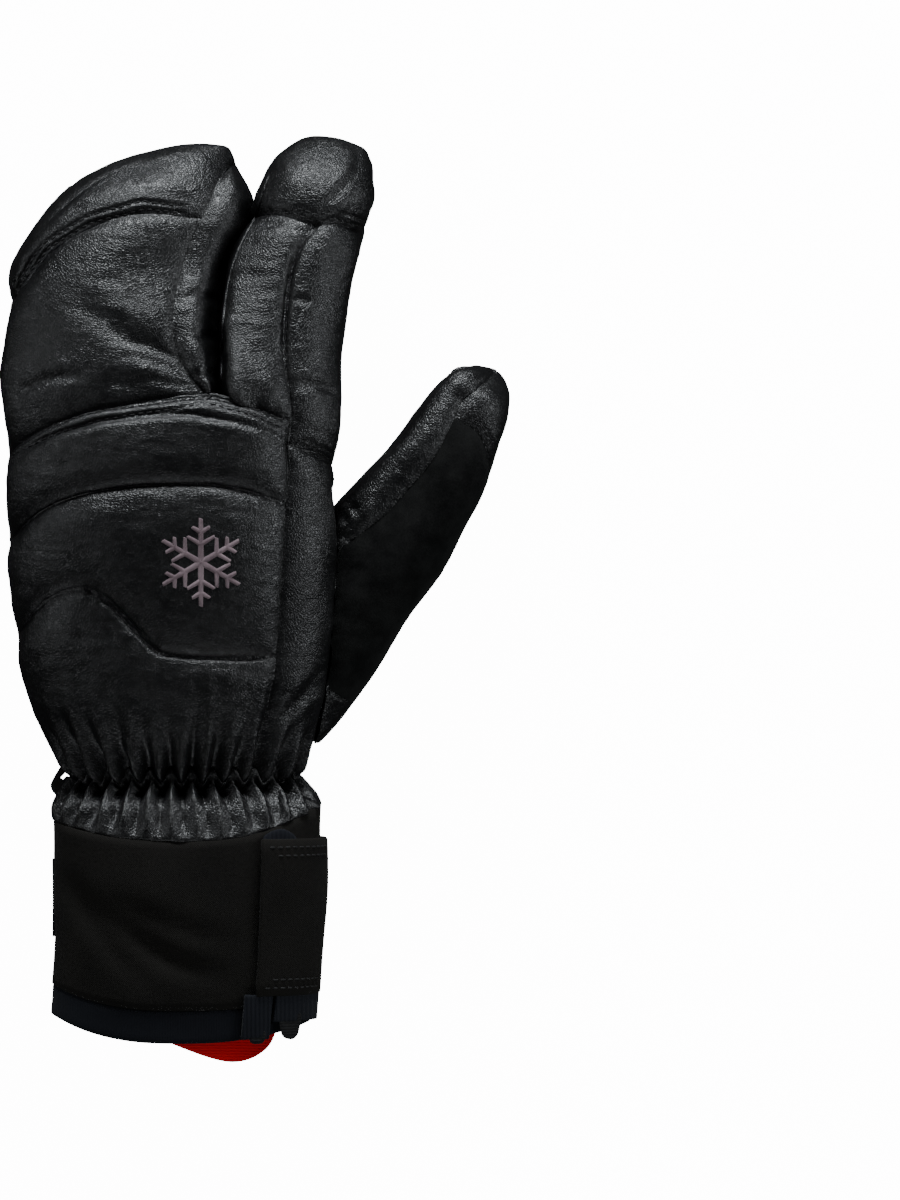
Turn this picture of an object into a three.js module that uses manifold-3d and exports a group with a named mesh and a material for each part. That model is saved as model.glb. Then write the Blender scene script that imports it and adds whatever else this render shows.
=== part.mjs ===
import * as THREE from 'three';
import { mergeVertices } from 'three/addons/utils/BufferGeometryUtils.js';
import Module from 'manifold-3d';

// A padded leather ski glove for the left hand with three compartments: thumb, index finger,
// and one shared by the other three fingers. It lies palm down, fingers towards +Y, thumb
// towards +X. Lengths are millimetres. While it is modelled, y = 0 is the line of the wrist
// elastic, x = 0 the middle of the palm and z = 0 the surface that it lies on.

// Driving sizes of the hand
const handLength = 200;
const handHeight = 64;
const palmWidth = 106;
const mittWidth = 67;
const indexWidth = 38.4;
const fingerLean = 17.3;
const fingerGap = 0.5;
const crotchAt = 0.59;

// Driving sizes of the thumb
const thumbLength = 106;
const thumbWidth = 42;
const thumbHeight = 41;
const thumbRootX = 40.5;
const thumbRootY = 41.6;
const thumbTurn = 35.4;

// Driving sizes of the wrist and the cuff
const gatherTop = 2.5;
const pleatCount = 30;
const pleatDepth = 1.5;
const waistDepth = 5;
const cuffWidth = 86;
const cuffHeight = 58;
const cuffShift = 5.4;
const sleeveLength = 84;

// Walls, gaps and the relief of the sewn panels
const leatherWall = 2.8;
const clothWall = 2.2;
const seamGap = 0.5;
const seamDepth = 0.9;
const panelPuff = 0.7;
const puffReach = 5;
const pieceGap = 0.3;
const hemInset = 0.4;
const strapEase = 0.2;

// Driving sizes of the strap, the patch, the loop and the other small pieces
const strapThickness = 2;
const patchThickness = 1.2;
const strapCorner = 7;
const labelLength = 24;
const labelThickness = 0.8;
const loopWidth = 7.6;
const loopThickness = 1.3;
const loopReach = 8;
const clipLength = 12.5;
const clipWidth = 8.5;
const clipDepth = 13.5;
const clipLift = 4;
const tapeThickness = 1.4;
const tabThickness = 1.6;
const longEnd = 13.5;
const shortEnd = 8.2;
const cuffLift = 2 * pieceGap + patchThickness + strapThickness + strapEase;

// Sections of the hand from the wrist to the root of the fingers. Along is a share of the
// hand length, left and right of the palm width, bottom and top of the hand height.
const palmRows = table(['along', 'left', 'right', 'bottom', 'top', 'square'], [
  [-0.02, -0.325, 0.400, 0.110, 0.840, 2.3],
  [0.022, -0.331, 0.403, 0.090, 0.865, 2.3],
  [0.050, -0.364, 0.421, 0.050, 0.900, 2.4],
  [0.090, -0.403, 0.442, 0.010, 0.930, 2.5],
  [0.137, -0.432, 0.463, -0.010, 0.955, 2.5],
  [0.192, -0.456, 0.480, -0.015, 0.970, 2.5],
  [0.255, -0.468, 0.489, -0.010, 0.985, 2.5],
  [0.334, -0.477, 0.492, 0.010, 0.995, 2.5],
  [0.413, -0.486, 0.486, 0.040, 1.000, 2.5],
  [0.460, -0.486, 0.484, 0.060, 1.000, 2.5],
  [0.507, -0.486, 0.488, 0.070, 0.985, 2.5],
  [0.554, -0.495, 0.498, 0.070, 0.965, 2.5],
  [0.591, -0.506, 0.504, 0.065, 0.940, 2.5],
]);

// The line between the two finger compartments, as a share of how far they lean over.
const leanRows = table(['along', 'lean'], [
  [0.580, 0.03],
  [0.683, 0.045],
  [0.740, 0.09],
  [0.797, 0.20],
  [0.836, 0.38],
  [0.866, 0.55],
  [0.893, 0.65],
  [0.917, 0.73],
  [0.945, 0.82],
  [0.967, 0.89],
  [1.000, 1.00],
]);

// Sections of the three finger compartment. Left is a share of its width in from the palm's
// side, recede a share that its other side stands back from the line between the compartments.
const mittRows = table(
  ['along', 'left', 'recede', 'bottom', 'top', 'crown', 'squareLeft', 'squareRight'], [
    [0.560, -0.004, 0.003, 0.070, 0.960, 0.79, 2.5, 5.0],
    [0.591, -0.012, 0.003, 0.065, 0.940, 0.78, 2.5, 5.0],
    [0.625, -0.017, 0.000, 0.055, 0.915, 0.70, 2.5, 4.4],
    [0.683, 0.002, 0.000, 0.035, 0.875, 0.60, 2.5, 3.6],
    [0.740, 0.021, 0.000, 0.015, 0.835, 0.55, 2.5, 3.0],
    [0.797, 0.040, 0.000, -0.005, 0.785, 0.52, 2.5, 2.7],
    [0.836, 0.106, 0.000, -0.015, 0.755, 0.52, 2.5, 2.5],
    [0.866, 0.167, 0.000, -0.015, 0.730, 0.53, 2.4, 2.4],
    [0.893, 0.223, 0.007, -0.005, 0.695, 0.54, 2.3, 2.3],
    [0.920, 0.312, 0.037, 0.015, 0.650, 0.56, 2.2, 2.2],
    [0.945, 0.411, 0.087, 0.060, 0.590, 0.58, 2.1, 2.1],
    [0.964, 0.555, 0.127, 0.115, 0.520, 0.60, 2.0, 2.0],
    [0.978, 0.690, 0.160, 0.180, 0.440, 0.60, 2.0, 2.0],
    [0.984, 0.800, 0.200, 0.235, 0.380, 0.60, 2.0, 2.0],
    [0.987, 0.936, 0.306, 0.305, 0.305, 0.60, 2.0, 2.0],
  ]);

// Sections of the index finger. Left and right are shares of its width, from the line between
// the compartments.
const indexRows = table(
  ['along', 'left', 'right', 'bottom', 'top', 'crown', 'squareLeft', 'squareRight'], [
    [0.560, 0.000, 1.000, 0.070, 0.940, 0.10, 5.0, 2.1],
    [0.591, 0.000, 1.000, 0.065, 0.920, 0.12, 5.0, 2.1],
    [0.649, 0.011, 0.995, 0.050, 0.860, 0.24, 4.0, 2.2],
    [0.712, 0.012, 1.016, 0.035, 0.795, 0.34, 3.0, 2.3],
    [0.767, 0.020, 1.033, 0.015, 0.740, 0.40, 2.6, 2.3],
    [0.814, 0.016, 1.029, 0.000, 0.700, 0.44, 2.4, 2.3],
    [0.854, 0.029, 0.992, -0.010, 0.665, 0.46, 2.3, 2.3],
    [0.888, 0.016, 0.963, -0.010, 0.640, 0.48, 2.2, 2.2],
    [0.917, 0.012, 0.939, 0.005, 0.610, 0.50, 2.2, 2.2],
    [0.945, 0.029, 0.873, 0.040, 0.570, 0.50, 2.1, 2.1],
    [0.967, 0.070, 0.816, 0.085, 0.515, 0.50, 2.0, 2.0],
    [0.986, 0.152, 0.734, 0.150, 0.440, 0.50, 2.0, 2.0],
    [0.996, 0.245, 0.594, 0.215, 0.370, 0.50, 2.0, 2.0],
    [1.000, 0.400, 0.400, 0.290, 0.290, 0.50, 2.0, 2.0],
  ]);

// Sections of the thumb in its own frame: along is a share of its length from its root, left
// and right of its width, bottom and top of its height.
const thumbRows = table(['along', 'left', 'right', 'bottom', 'top', 'square'], [
  [-0.22, -0.20, 0.592, 0.20, 0.86, 2.3],
  [-0.10, -0.36, 0.617, 0.05, 0.99, 2.3],
  [0.05, -0.42, 0.612, 0.02, 1.00, 2.3],
  [0.20, -0.43, 0.594, 0.01, 1.00, 2.3],
  [0.35, -0.41, 0.584, 0.01, 0.99, 2.3],
  [0.44, -0.385, 0.570, 0.01, 0.98, 2.3],
  [0.59, -0.325, 0.525, 0.02, 0.96, 2.3],
  [0.70, -0.308, 0.469, 0.03, 0.94, 2.3],
  [0.80, -0.295, 0.390, 0.05, 0.90, 2.2],
  [0.88, -0.275, 0.324, 0.09, 0.85, 2.1],
  [0.94, -0.220, 0.268, 0.15, 0.78, 2.0],
  [0.975, -0.135, 0.200, 0.24, 0.69, 2.0],
  [0.992, -0.055, 0.120, 0.34, 0.58, 2.0],
  [1.000, 0.030, 0.030, 0.46, 0.46, 2.0],
]);

// Sections of the cuff from its seam with the gathers (0) to its open end (1). Left and right
// are shares of the cuff width, bottom and top of the cuff height.
const cuffRows = table(['along', 'left', 'right', 'bottom', 'top', 'square'], [
  [0.00, -0.500, 0.486, 0.030, 0.970, 2.4],
  [0.25, -0.496, 0.484, 0.010, 0.990, 2.4],
  [0.55, -0.493, 0.479, 0.000, 1.000, 2.4],
  [0.85, -0.503, 0.455, 0.020, 0.985, 2.4],
  [1.00, -0.512, 0.442, 0.040, 0.965, 2.4],
]);

// Where the cuff's edges lie on the four sides of the arm, as shares of the sleeve length.
const cuffEdges = {
  seam: { left: 0.18, top: 0.25, right: 0.12, bottom: 0.16 },
  hem: { left: 0.79, top: 0.88, right: 0.83, bottom: 0.83 },
  end: { left: 0.90, top: 1.00, right: 0.93, bottom: 0.99 },
};

// A small table: a list of rows with named columns, read as smooth curves along its first one.
function table(columns, rows) {
  const curves = {};
  columns.forEach((name, column) => {
    curves[name] = (place) => smoothValue(rows, column, place);
  });
  return curves;
}

function slopeAt(rows, column, index) {
  const before = rows[Math.max(0, index - 1)];
  const after = rows[Math.min(rows.length - 1, index + 1)];
  return (after[column] - before[column]) / (after[0] - before[0]);
}

function smoothValue(rows, column, place) {
  const end = rows.length - 1;
  if (place <= rows[0][0]) return rows[0][column];
  if (place >= rows[end][0]) return rows[end][column];
  let index = 0;
  while (rows[index + 1][0] < place) index += 1;
  const [a, b] = [rows[index], rows[index + 1]];
  const span = b[0] - a[0];
  const t = (place - a[0]) / span;
  const rise = b[column] - a[column];
  const steepest = Math.abs(3 * rise / span);
  const limit = (slope) => {
    if (slope * rise <= 0) return 0;
    return Math.sign(rise) * Math.min(Math.abs(slope), steepest);
  };
  const slopeA = limit(slopeAt(rows, column, index)) * span;
  const slopeB = limit(slopeAt(rows, column, index + 1)) * span;
  const t2 = t * t;
  const t3 = t2 * t;
  return a[column] * (2 * t3 - 3 * t2 + 1) + slopeA * (t3 - 2 * t2 + t)
    + b[column] * (3 * t2 - 2 * t3) + slopeB * (t3 - t2);
}

// Each form is a closed tube whose sections are rounded boxes, given at a place y along it.
const palmSide = -palmWidth / 2;
const guideX = (v) => palmSide + mittWidth + fingerLean * leanRows.lean(v);

const palmForm = {
  left: (y) => palmWidth * palmRows.left(y / handLength),
  right: (y) => palmWidth * palmRows.right(y / handLength),
  bottom: (y) => handHeight * palmRows.bottom(y / handLength),
  top: (y) => handHeight * palmRows.top(y / handLength),
  crown: () => 0.5,
  squareLeft: (y) => palmRows.square(y / handLength),
  squareRight: (y) => palmRows.square(y / handLength),
};

function fingerForm(rows, left, right) {
  return {
    left: (y) => left(y / handLength),
    right: (y) => right(y / handLength),
    bottom: (y) => handHeight * rows.bottom(y / handLength),
    top: (y) => handHeight * rows.top(y / handLength),
    crown: (y) => rows.crown(y / handLength),
    squareLeft: (y) => rows.squareLeft(y / handLength),
    squareRight: (y) => rows.squareRight(y / handLength),
    root: palmForm,
    rootY: crotchAt * handLength,
  };
}

const mittForm = fingerForm(
  mittRows,
  (v) => palmSide + mittWidth * mittRows.left(v),
  (v) => guideX(v) - mittWidth * mittRows.recede(v),
);

const indexForm = fingerForm(
  indexRows,
  (v) => guideX(v) + fingerGap + indexWidth * indexRows.left(v),
  (v) => guideX(v) + fingerGap + indexWidth * indexRows.right(v),
);

const thumbForm = {
  left: (y) => thumbWidth * thumbRows.left(y / thumbLength),
  right: (y) => thumbWidth * thumbRows.right(y / thumbLength),
  bottom: (y) => thumbHeight * thumbRows.bottom(y / thumbLength),
  top: (y) => thumbHeight * thumbRows.top(y / thumbLength),
  crown: () => 0.5,
  squareLeft: (y) => thumbRows.square(y / thumbLength),
  squareRight: (y) => thumbRows.square(y / thumbLength),
};

// The cuff runs towards -Y, so its sections are read by how far they lie below the wrist.
const cuffShare = (y) => -y / sleeveLength;
const cuffForm = {
  left: (y) => cuffShift + cuffWidth * cuffRows.left(cuffShare(y)),
  right: (y) => cuffShift + cuffWidth * cuffRows.right(cuffShare(y)),
  bottom: (y) => cuffLift + cuffHeight * cuffRows.bottom(cuffShare(y)),
  top: (y) => cuffLift + cuffHeight * cuffRows.top(cuffShare(y)),
  crown: () => 0.5,
  squareLeft: (y) => cuffRows.square(cuffShare(y)),
  squareRight: (y) => cuffRows.square(cuffShare(y)),
};

// A place on a form, side +1 for the back of the hand and -1 for the palm.
function ownForm(form, y) {
  return form.root && y < form.rootY - 1e-6 ? form.root : form;
}

function surfaceHeight(start, x, y, side) {
  const form = ownForm(start, y);
  const left = form.left(y);
  const right = form.right(y);
  const crown = left + (right - left) * form.crown(y);
  const square = x < crown ? form.squareLeft(y) : form.squareRight(y);
  const half = Math.max(1e-6, x < crown ? crown - left : right - crown);
  const reach = Math.min(1, Math.abs(x - crown) / half);
  const rise = Math.pow(1 - Math.pow(reach, square), 1 / square);
  const low = form.bottom(y);
  const high = form.top(y);
  return (low + high) / 2 + side * rise * (high - low) / 2;
}

function acrossAt(form, across, y) {
  const left = form.left(y);
  const right = form.right(y);
  return (left + right) / 2 + across * (right - left) / 2;
}

// Ways of spacing points: closer together at an end that reaches the side of a form.
const spacing = {
  even: (t) => t,
  start: (t) => 1 - Math.cos(t * Math.PI / 2),
  end: (t) => Math.sin(t * Math.PI / 2),
  both: (t) => (1 - Math.cos(t * Math.PI)) / 2,
};

// A seam is a row of plan points through [across, along] places of a form.
function seam(form, size, places, count, ease = 'even') {
  const points = places.map(([across, along]) => {
    const y = along * size;
    return new THREE.Vector3(acrossAt(form, across, y), y, 0);
  });
  const curve = new THREE.CatmullRomCurve3(points, false, 'centripetal');
  const row = [];
  for (let i = 0; i <= count; i += 1) {
    const point = curve.getPointAt(spacing[ease](i / count));
    row.push([point.x, point.y]);
  }
  return row;
}

// The side of a form as plan points, at the given places along it.
function outline(form, size, side, places) {
  return places.map((along) => {
    const y = along * size;
    const own = ownForm(form, y);
    return [own[side](y), y];
  });
}

function evenly(from, to, count) {
  return Array.from({ length: count + 1 }, (unused, i) => from + (to - from) * i / count);
}

function joinRows(...rows) {
  return rows.reduce((all, row) => all.concat(row.slice(1)));
}

const reversed = (row) => row.slice().reverse();

// How far along a row each of its points lies, from 0 to 1.
function shares(row) {
  const sums = [0];
  for (let i = 1; i < row.length; i += 1) {
    sums.push(sums[i - 1] + Math.hypot(row[i][0] - row[i - 1][0], row[i][1] - row[i - 1][1]));
  }
  const total = sums[sums.length - 1] || 1;
  return sums.map((sum) => sum / total);
}

// A leaf is the patch of a form's back or palm between four rows of plan points.
function leaf(form, side, bottom, top, left, right) {
  const across = shares(bottom).map((share, i) => (share + shares(top)[i]) / 2);
  const along = shares(left).map((share, j) => (share + shares(right)[j]) / 2);
  const columns = bottom.length - 1;
  const rows = left.length - 1;
  const corner = [bottom[0], bottom[columns], top[0], top[columns]];
  const grid = [];
  for (let j = 0; j <= rows; j += 1) {
    for (let i = 0; i <= columns; i += 1) {
      grid.push(leafPoint(form, side, i, j));
    }
  }
  function leafPoint(onForm, onSide, i, j) {
    const s = across[i];
    const t = along[j];
    const plan = [0, 1].map((axis) => {
      const ruled = (1 - t) * bottom[i][axis] + t * top[i][axis]
        + (1 - s) * left[j][axis] + s * right[j][axis];
      const corners = (1 - t) * ((1 - s) * corner[0][axis] + s * corner[1][axis])
        + t * ((1 - s) * corner[2][axis] + s * corner[3][axis]);
      return ruled - corners;
    });
    const point = new THREE.Vector3(plan[0], plan[1], 0);
    point.z = surfaceHeight(onForm, point.x, point.y, onSide);
    const own = ownForm(onForm, point.y);
    const toSide = Math.min(Math.abs(point.x - own.left(point.y)),
      Math.abs(point.x - own.right(point.y)));
    if (toSide < 1e-4) sideKeys.add(pointKey(point));
    return point;
  }
  const faces = [];
  for (let j = 0; j < rows; j += 1) {
    for (let i = 0; i < columns; i += 1) {
      const a = j * (columns + 1) + i;
      const [b, c, d] = [a + 1, a + columns + 2, a + columns + 1];
      const pair = [[a, b, c], [a, c, d]];
      pair.forEach((face) => faces.push(side > 0 ? face : face.slice().reverse()));
    }
  }
  return { points: grid, faces };
}

// Places on the side of a form, where the surface stands upright
const sideKeys = new Set();
// Rounding starts a little off the grid, so that the same place always gets the same key
const offGrid = 0.000137;
const pointKey = (point) => point.toArray().map((value) => (value + offGrid).toFixed(3)).join(' ');

// Joins leaves into one skin whose shared points are merged.
function skinOf(leaves) {
  const points = [];
  const faces = [];
  const index = new Map();
  for (const part of leaves) {
    const ids = part.points.map((point) => {
      const key = pointKey(point);
      if (!index.has(key)) {
        index.set(key, points.length);
        points.push(point.clone());
      }
      return index.get(key);
    });
    for (const face of part.faces) {
      const [a, b, c] = face.map((id) => ids[id]);
      if (a !== b && b !== c && c !== a) faces.push([a, b, c]);
    }
  }
  return { points, faces };
}

function faceNormal(points, [a, b, c]) {
  const ab = points[b].clone().sub(points[a]);
  const ac = points[c].clone().sub(points[a]);
  return ab.cross(ac);
}

// Normals that neighbouring panels share, kept by place, so that their walls stay parallel.
function sharedNormals(panels) {
  const whole = skinOf(Object.values(panels).flat());
  const sums = new Map();
  for (const face of whole.faces) {
    const normal = faceNormal(whole.points, face);
    if (normal.length() > 0) normal.multiplyScalar(1 / Math.sqrt(normal.length()));
    for (const id of face) {
      const key = pointKey(whole.points[id]);
      const sum = sums.get(key) || new THREE.Vector3();
      sums.set(key, sum.add(normal));
    }
  }
  return sums;
}

function rimEdges(faces) {
  const edges = new Map();
  for (const face of faces) {
    for (let k = 0; k < 3; k += 1) {
      edges.set(`${face[k]} ${face[(k + 1) % 3]}`, [face[k], face[(k + 1) % 3]]);
    }
  }
  return [...edges.values()].filter(([a, b]) => !edges.has(`${b} ${a}`));
}

function distanceToEdges(point, points, edges) {
  let nearest = Infinity;
  const line = new THREE.Line3();
  const foot = new THREE.Vector3();
  for (const [a, b] of edges) {
    line.set(points[a], points[b]);
    line.closestPointToPoint(point, true, foot);
    nearest = Math.min(nearest, foot.distanceTo(point));
  }
  return nearest;
}

// The half gap that a panel stands back from a seam, square to both rim edges at each point.
function seamInsets(skin, edges, normals) {
  const sides = new Map();
  for (const [a, b] of edges) {
    for (const id of [a, b]) {
      const run = skin.points[b].clone().sub(skin.points[a]).normalize();
      const inward = normals[id].clone().cross(run).normalize();
      if (!sides.has(id)) sides.set(id, []);
      sides.get(id).push(inward);
    }
  }
  const insets = new Map();
  for (const [id, [first, second]] of sides) {
    const other = second || first;
    const scale = (seamGap / 2) / Math.max(0.35, 1 + first.dot(other));
    insets.set(id, first.clone().add(other).multiplyScalar(scale));
  }
  return insets;
}

// A sewn panel: its skin puffed between the seams, a wall thick, and turned in at the seams.
function panel(leaves, sums, wall) {
  const skin = skinOf(leaves);
  const normals = skin.points.map((point) => {
    const normal = sums.get(pointKey(point)).clone();
    if (sideKeys.has(pointKey(point))) normal.z = 0;
    if (Math.abs(point.y - gatherTop) < 1e-3) normal.y = 0;
    return normal.normalize();
  });
  const edges = rimEdges(skin.faces);
  const insets = seamInsets(skin, edges, normals);
  const outer = [];
  const inner = [];
  skin.points.forEach((point, id) => {
    const base = point.clone();
    let rise = -seamDepth;
    if (insets.has(id)) {
      base.add(insets.get(id));
    } else {
      const away = distanceToEdges(point, skin.points, edges);
      rise = panelPuff - (panelPuff + seamDepth) * Math.exp(-away / puffReach * 2);
    }
    outer.push(base.clone().addScaledVector(normals[id], rise));
    inner.push(base.clone().addScaledVector(normals[id], -wall));
  });
  const lift = (point) => point.setZ(Math.max(0, point.z));
  outer.forEach(lift);
  inner.forEach((point, id) => point.setZ(Math.max(point.z, outer[id].z < 0.01 ? wall : 0)));
  const count = skin.points.length;
  const faces = skin.faces.map((face) => face.slice());
  skin.faces.forEach(([a, b, c]) => faces.push([a + count, c + count, b + count]));
  // Both panels at a seam split its walls along the same diagonal, so twisted walls stay clear
  for (const [a, b] of edges) {
    const forward = pointKey(skin.points[a]) < pointKey(skin.points[b]);
    if (forward) faces.push([b, a, a + count], [b, a + count, b + count]);
    else faces.push([b, a, b + count], [a, a + count, b + count]);
  }
  return solidGeometry(outer.concat(inner), faces);
}

function solidGeometry(points, faces) {
  const geometry = new THREE.BufferGeometry();
  const positions = points.flatMap((point) => [point.x, point.y, point.z]);
  geometry.setAttribute('position', new THREE.Float32BufferAttribute(positions, 3));
  geometry.setIndex(faces.flat());
  return geometry;
}

// A wall between two grids, going once round the arm or only part of the way.
function shell(columns, rows, closed, outerAt, innerAt) {
  const points = [];
  const wide = closed ? columns : columns + 1;
  for (const at of [outerAt, innerAt]) {
    for (let j = 0; j <= rows; j += 1) {
      for (let i = 0; i < wide; i += 1) points.push(at(i / columns, j / rows));
    }
  }
  const skin = (rows + 1) * wide;
  const id = (layer, i, j) => layer * skin + j * wide + (i % wide);
  const faces = [];
  const quad = (a, b, c, d) => faces.push([c, b, a], [d, c, a]);
  for (let i = 0; i < columns; i += 1) {
    for (let j = 0; j < rows; j += 1) {
      quad(id(0, i, j), id(0, i, j + 1), id(0, i + 1, j + 1), id(0, i + 1, j));
      quad(id(1, i, j), id(1, i + 1, j), id(1, i + 1, j + 1), id(1, i, j + 1));
    }
    quad(id(0, i, 0), id(0, i + 1, 0), id(1, i + 1, 0), id(1, i, 0));
    quad(id(0, i + 1, rows), id(0, i, rows), id(1, i, rows), id(1, i + 1, rows));
  }
  for (let j = 0; j < rows && !closed; j += 1) {
    quad(id(0, 0, j), id(1, 0, j), id(1, 0, j + 1), id(0, 0, j + 1));
    quad(id(0, columns, j + 1), id(1, columns, j + 1), id(1, columns, j), id(0, columns, j));
  }
  return solidGeometry(points, faces);
}

// A point on the ring of a form, by its angle: 0 at the thumb side, a quarter turn at the top.
function ringPoint(form, y, turn, lift) {
  const angle = turn * 2 * Math.PI;
  const left = form.left(y);
  const right = form.right(y);
  const middle = (left + right) / 2;
  const half = (right - left) / 2;
  const low = form.bottom(y);
  const high = form.top(y);
  const rise = (high - low) / 2;
  const power = 2 / form.squareRight(y);
  const c = Math.cos(angle);
  const s = Math.sin(angle);
  const bend = (value, exponent) => Math.sign(value) * Math.pow(Math.abs(value), exponent);
  const normal = new THREE.Vector3(bend(c, 2 - power) / half, 0, bend(s, 2 - power) / rise);
  normal.normalize();
  const point = new THREE.Vector3(
    middle + half * bend(c, power), y, (low + high) / 2 + rise * bend(s, power));
  return point.addScaledVector(normal, lift);
}

// A value given for the four sides of the arm, read at an angle round it.
function sideValue(values, turn) {
  const angle = turn * 2 * Math.PI;
  const c = Math.cos(angle);
  const s = Math.sin(angle);
  const across = c > 0 ? values.right : values.left;
  const upright = s > 0 ? values.top : values.bottom;
  return across * c * c + upright * s * s;
}

const edgeY = (edge, turn) => -sleeveLength * sideValue(cuffEdges[edge], turn);

// Numbers of panels' columns that neighbouring panels share
const mittColumns = 6;
const gussetColumns = 2;
const indexColumns = 4;
const stripColumns = 4;
const backColumns = mittColumns + gussetColumns + indexColumns;
const rollColumns = 12;
const rollTurn = 4;
const shortColumns = 2;
const creaseColumns = rollColumns - rollTurn + shortColumns;
const webColumns = 4;
const indexPalmColumns = 8;
const palmColumns = creaseColumns + webColumns + indexPalmColumns;
const wristAlong = gatherTop / handLength;

const onPalm = (places, count, ease) => seam(palmForm, handLength, places, count, ease);
const onMitt = (places, count, ease) => seam(mittForm, handLength, places, count, ease);
const onIndex = (places, count, ease) => seam(indexForm, handLength, places, count, ease);
const onThumb = (places, count, ease) => seam(thumbForm, thumbLength, places, count, ease);
const side = (form, name, places) => outline(form, handLength, name, places);
const thumbSide = (name, places) => outline(thumbForm, thumbLength, name, places);
const halfway = (a, b) => [a, [(a[0] + b[0]) / 2, (a[1] + b[1]) / 2], b];

function withEnds(row, first, last) {
  const copy = row.slice();
  if (first) copy[0] = first;
  if (last) copy[copy.length - 1] = last;
  return copy;
}

// The crotch, where the two finger compartments part
const crotchY = crotchAt * handLength;
const mittCrotch = [mittForm.right(crotchY), crotchY];
const indexCrotch = [indexForm.left(crotchY), crotchY];
const webStart = [acrossAt(mittForm, 0.9, crotchY), crotchY];

// Panels of the back of the hand, from the wrist to the knuckles
const stripJoin = 0.182;
const knuckleMitt = withEnds(onPalm([
  [-1, 0.500], [-0.86, 0.526], [-0.55, 0.560], [-0.30, 0.575], [-0.06, 0.583], [0.19, crotchAt],
], mittColumns, 'start'), null, webStart);
const knuckleWeb = halfway(webStart, mittCrotch);
const knuckleIndex = withEnds(onPalm([
  [0.28, crotchAt], [0.34, 0.583], [0.49, 0.573], [0.73, 0.551],
], indexColumns), indexCrotch, null);
const groove = onPalm([
  [-1, 0.366], [-0.87, 0.396], [-0.72, 0.419], [-0.55, 0.434], [-0.30, 0.446], [-0.05, 0.451],
  [0.20, 0.452], [0.36, 0.449], [0.53, 0.438], [0.72, 0.420],
], backColumns, 'start');
const padSeam = onPalm([
  [-1, 0.215], [-0.91, 0.242], [-0.84, 0.261], [-0.70, 0.282], [-0.57, 0.290], [-0.47, 0.286],
  [-0.37, 0.265], [-0.26, 0.235], [-0.16, 0.208], [-0.05, 0.186], [0.15, 0.182],
  [0.66, stripJoin],
], backColumns, 'start');
const wristBack = onPalm([[-1, wristAlong], [0, wristAlong], [0.59, wristAlong]],
  backColumns, 'start');
const wristStrip = onPalm([[0.59, wristAlong], [0.8, wristAlong], [1, wristAlong]],
  stripColumns, 'end');
const stripLow = onPalm([[0.59, wristAlong], [0.625, 0.07], [0.655, 0.12], [0.66, stripJoin]], 4);
const stripMiddle = onPalm([[0.66, stripJoin], [0.67, 0.23], [0.68, 0.30], [0.72, 0.420]], 4);
const stripHigh = onPalm([[0.72, 0.420], [0.745, 0.465], [0.73, 0.513]], 3);
const stripTop = onPalm([[0.73, 0.513], [0.73, 0.551]], 1);
const crossAlong = 0.482;
const stripCross = onPalm([[0.73, 0.513], [0.86, 0.503], [1, crossAlong]], stripColumns, 'end');
const stripSide = side(palmForm, 'right', evenly(wristAlong, crossAlong, 11));

// Panels of the three finger compartment
const gussetLow = withEnds(onMitt([
  [0.9, crotchAt], [0.86, 0.597], [0.78, 0.6115], [0.69, 0.640], [0.63, 0.668], [0.59, 0.697],
  [0.59, 0.726], [0.60, 0.759], [0.61, 0.802], [0.58, 0.836], [0.57, 0.870],
], 6), webStart, null);
const gussetHigh = onMitt([[0.57, 0.870], [0.61, 0.905], [0.68, 0.936], [0.80, 0.956]], 3);
const gussetEnd = onMitt([[0.80, 0.956], [0.90, 0.960], [1, 0.962]], gussetColumns);
const mittRight = withEnds(side(mittForm, 'right', [
  crotchAt, 0.635, 0.685, 0.735, 0.785, 0.830, 0.866, 0.900, 0.932, 0.962,
]), mittCrotch, gussetEnd[gussetColumns]);
const mittLeft = side(mittForm, 'left', evenly(0.500, 0.743, 6));
const mittCapSeam = onMitt([
  [-1, 0.743], [-0.87, 0.762], [-0.77, 0.793], [-0.68, 0.826], [-0.55, 0.848], [-0.36, 0.863],
  [-0.13, 0.8756], [0.10, 0.8797], [0.34, 0.876], [0.57, 0.870],
], mittColumns, 'start');
const mittCapLeft = side(mittForm, 'left', [0.743, 0.785, 0.822, 0.853, 0.883, 0.910]);
const mittTip = side(mittForm, 'left', [0.910, 0.936, 0.957, 0.975, 0.986])
  .concat(side(mittForm, 'right', [0.9835]), [mittRight[9]]);
const mittRoll = onMitt([
  [-0.92, 0.752], [-0.84, 0.800], [-0.70, 0.845], [-0.50, 0.880], [-0.25, 0.903], [0, 0.915],
  [0.40, 0.925], [0.70, 0.928], [0.90, 0.930],
], rollColumns);
const rollLeft = halfway(mittCapLeft[0], mittRoll[0]);
const rollRight = halfway(mittRight[8], mittRoll[rollColumns]);
const mittPalmLeft = side(mittForm, 'left', evenly(0.486, 0.743, 3));

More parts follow.
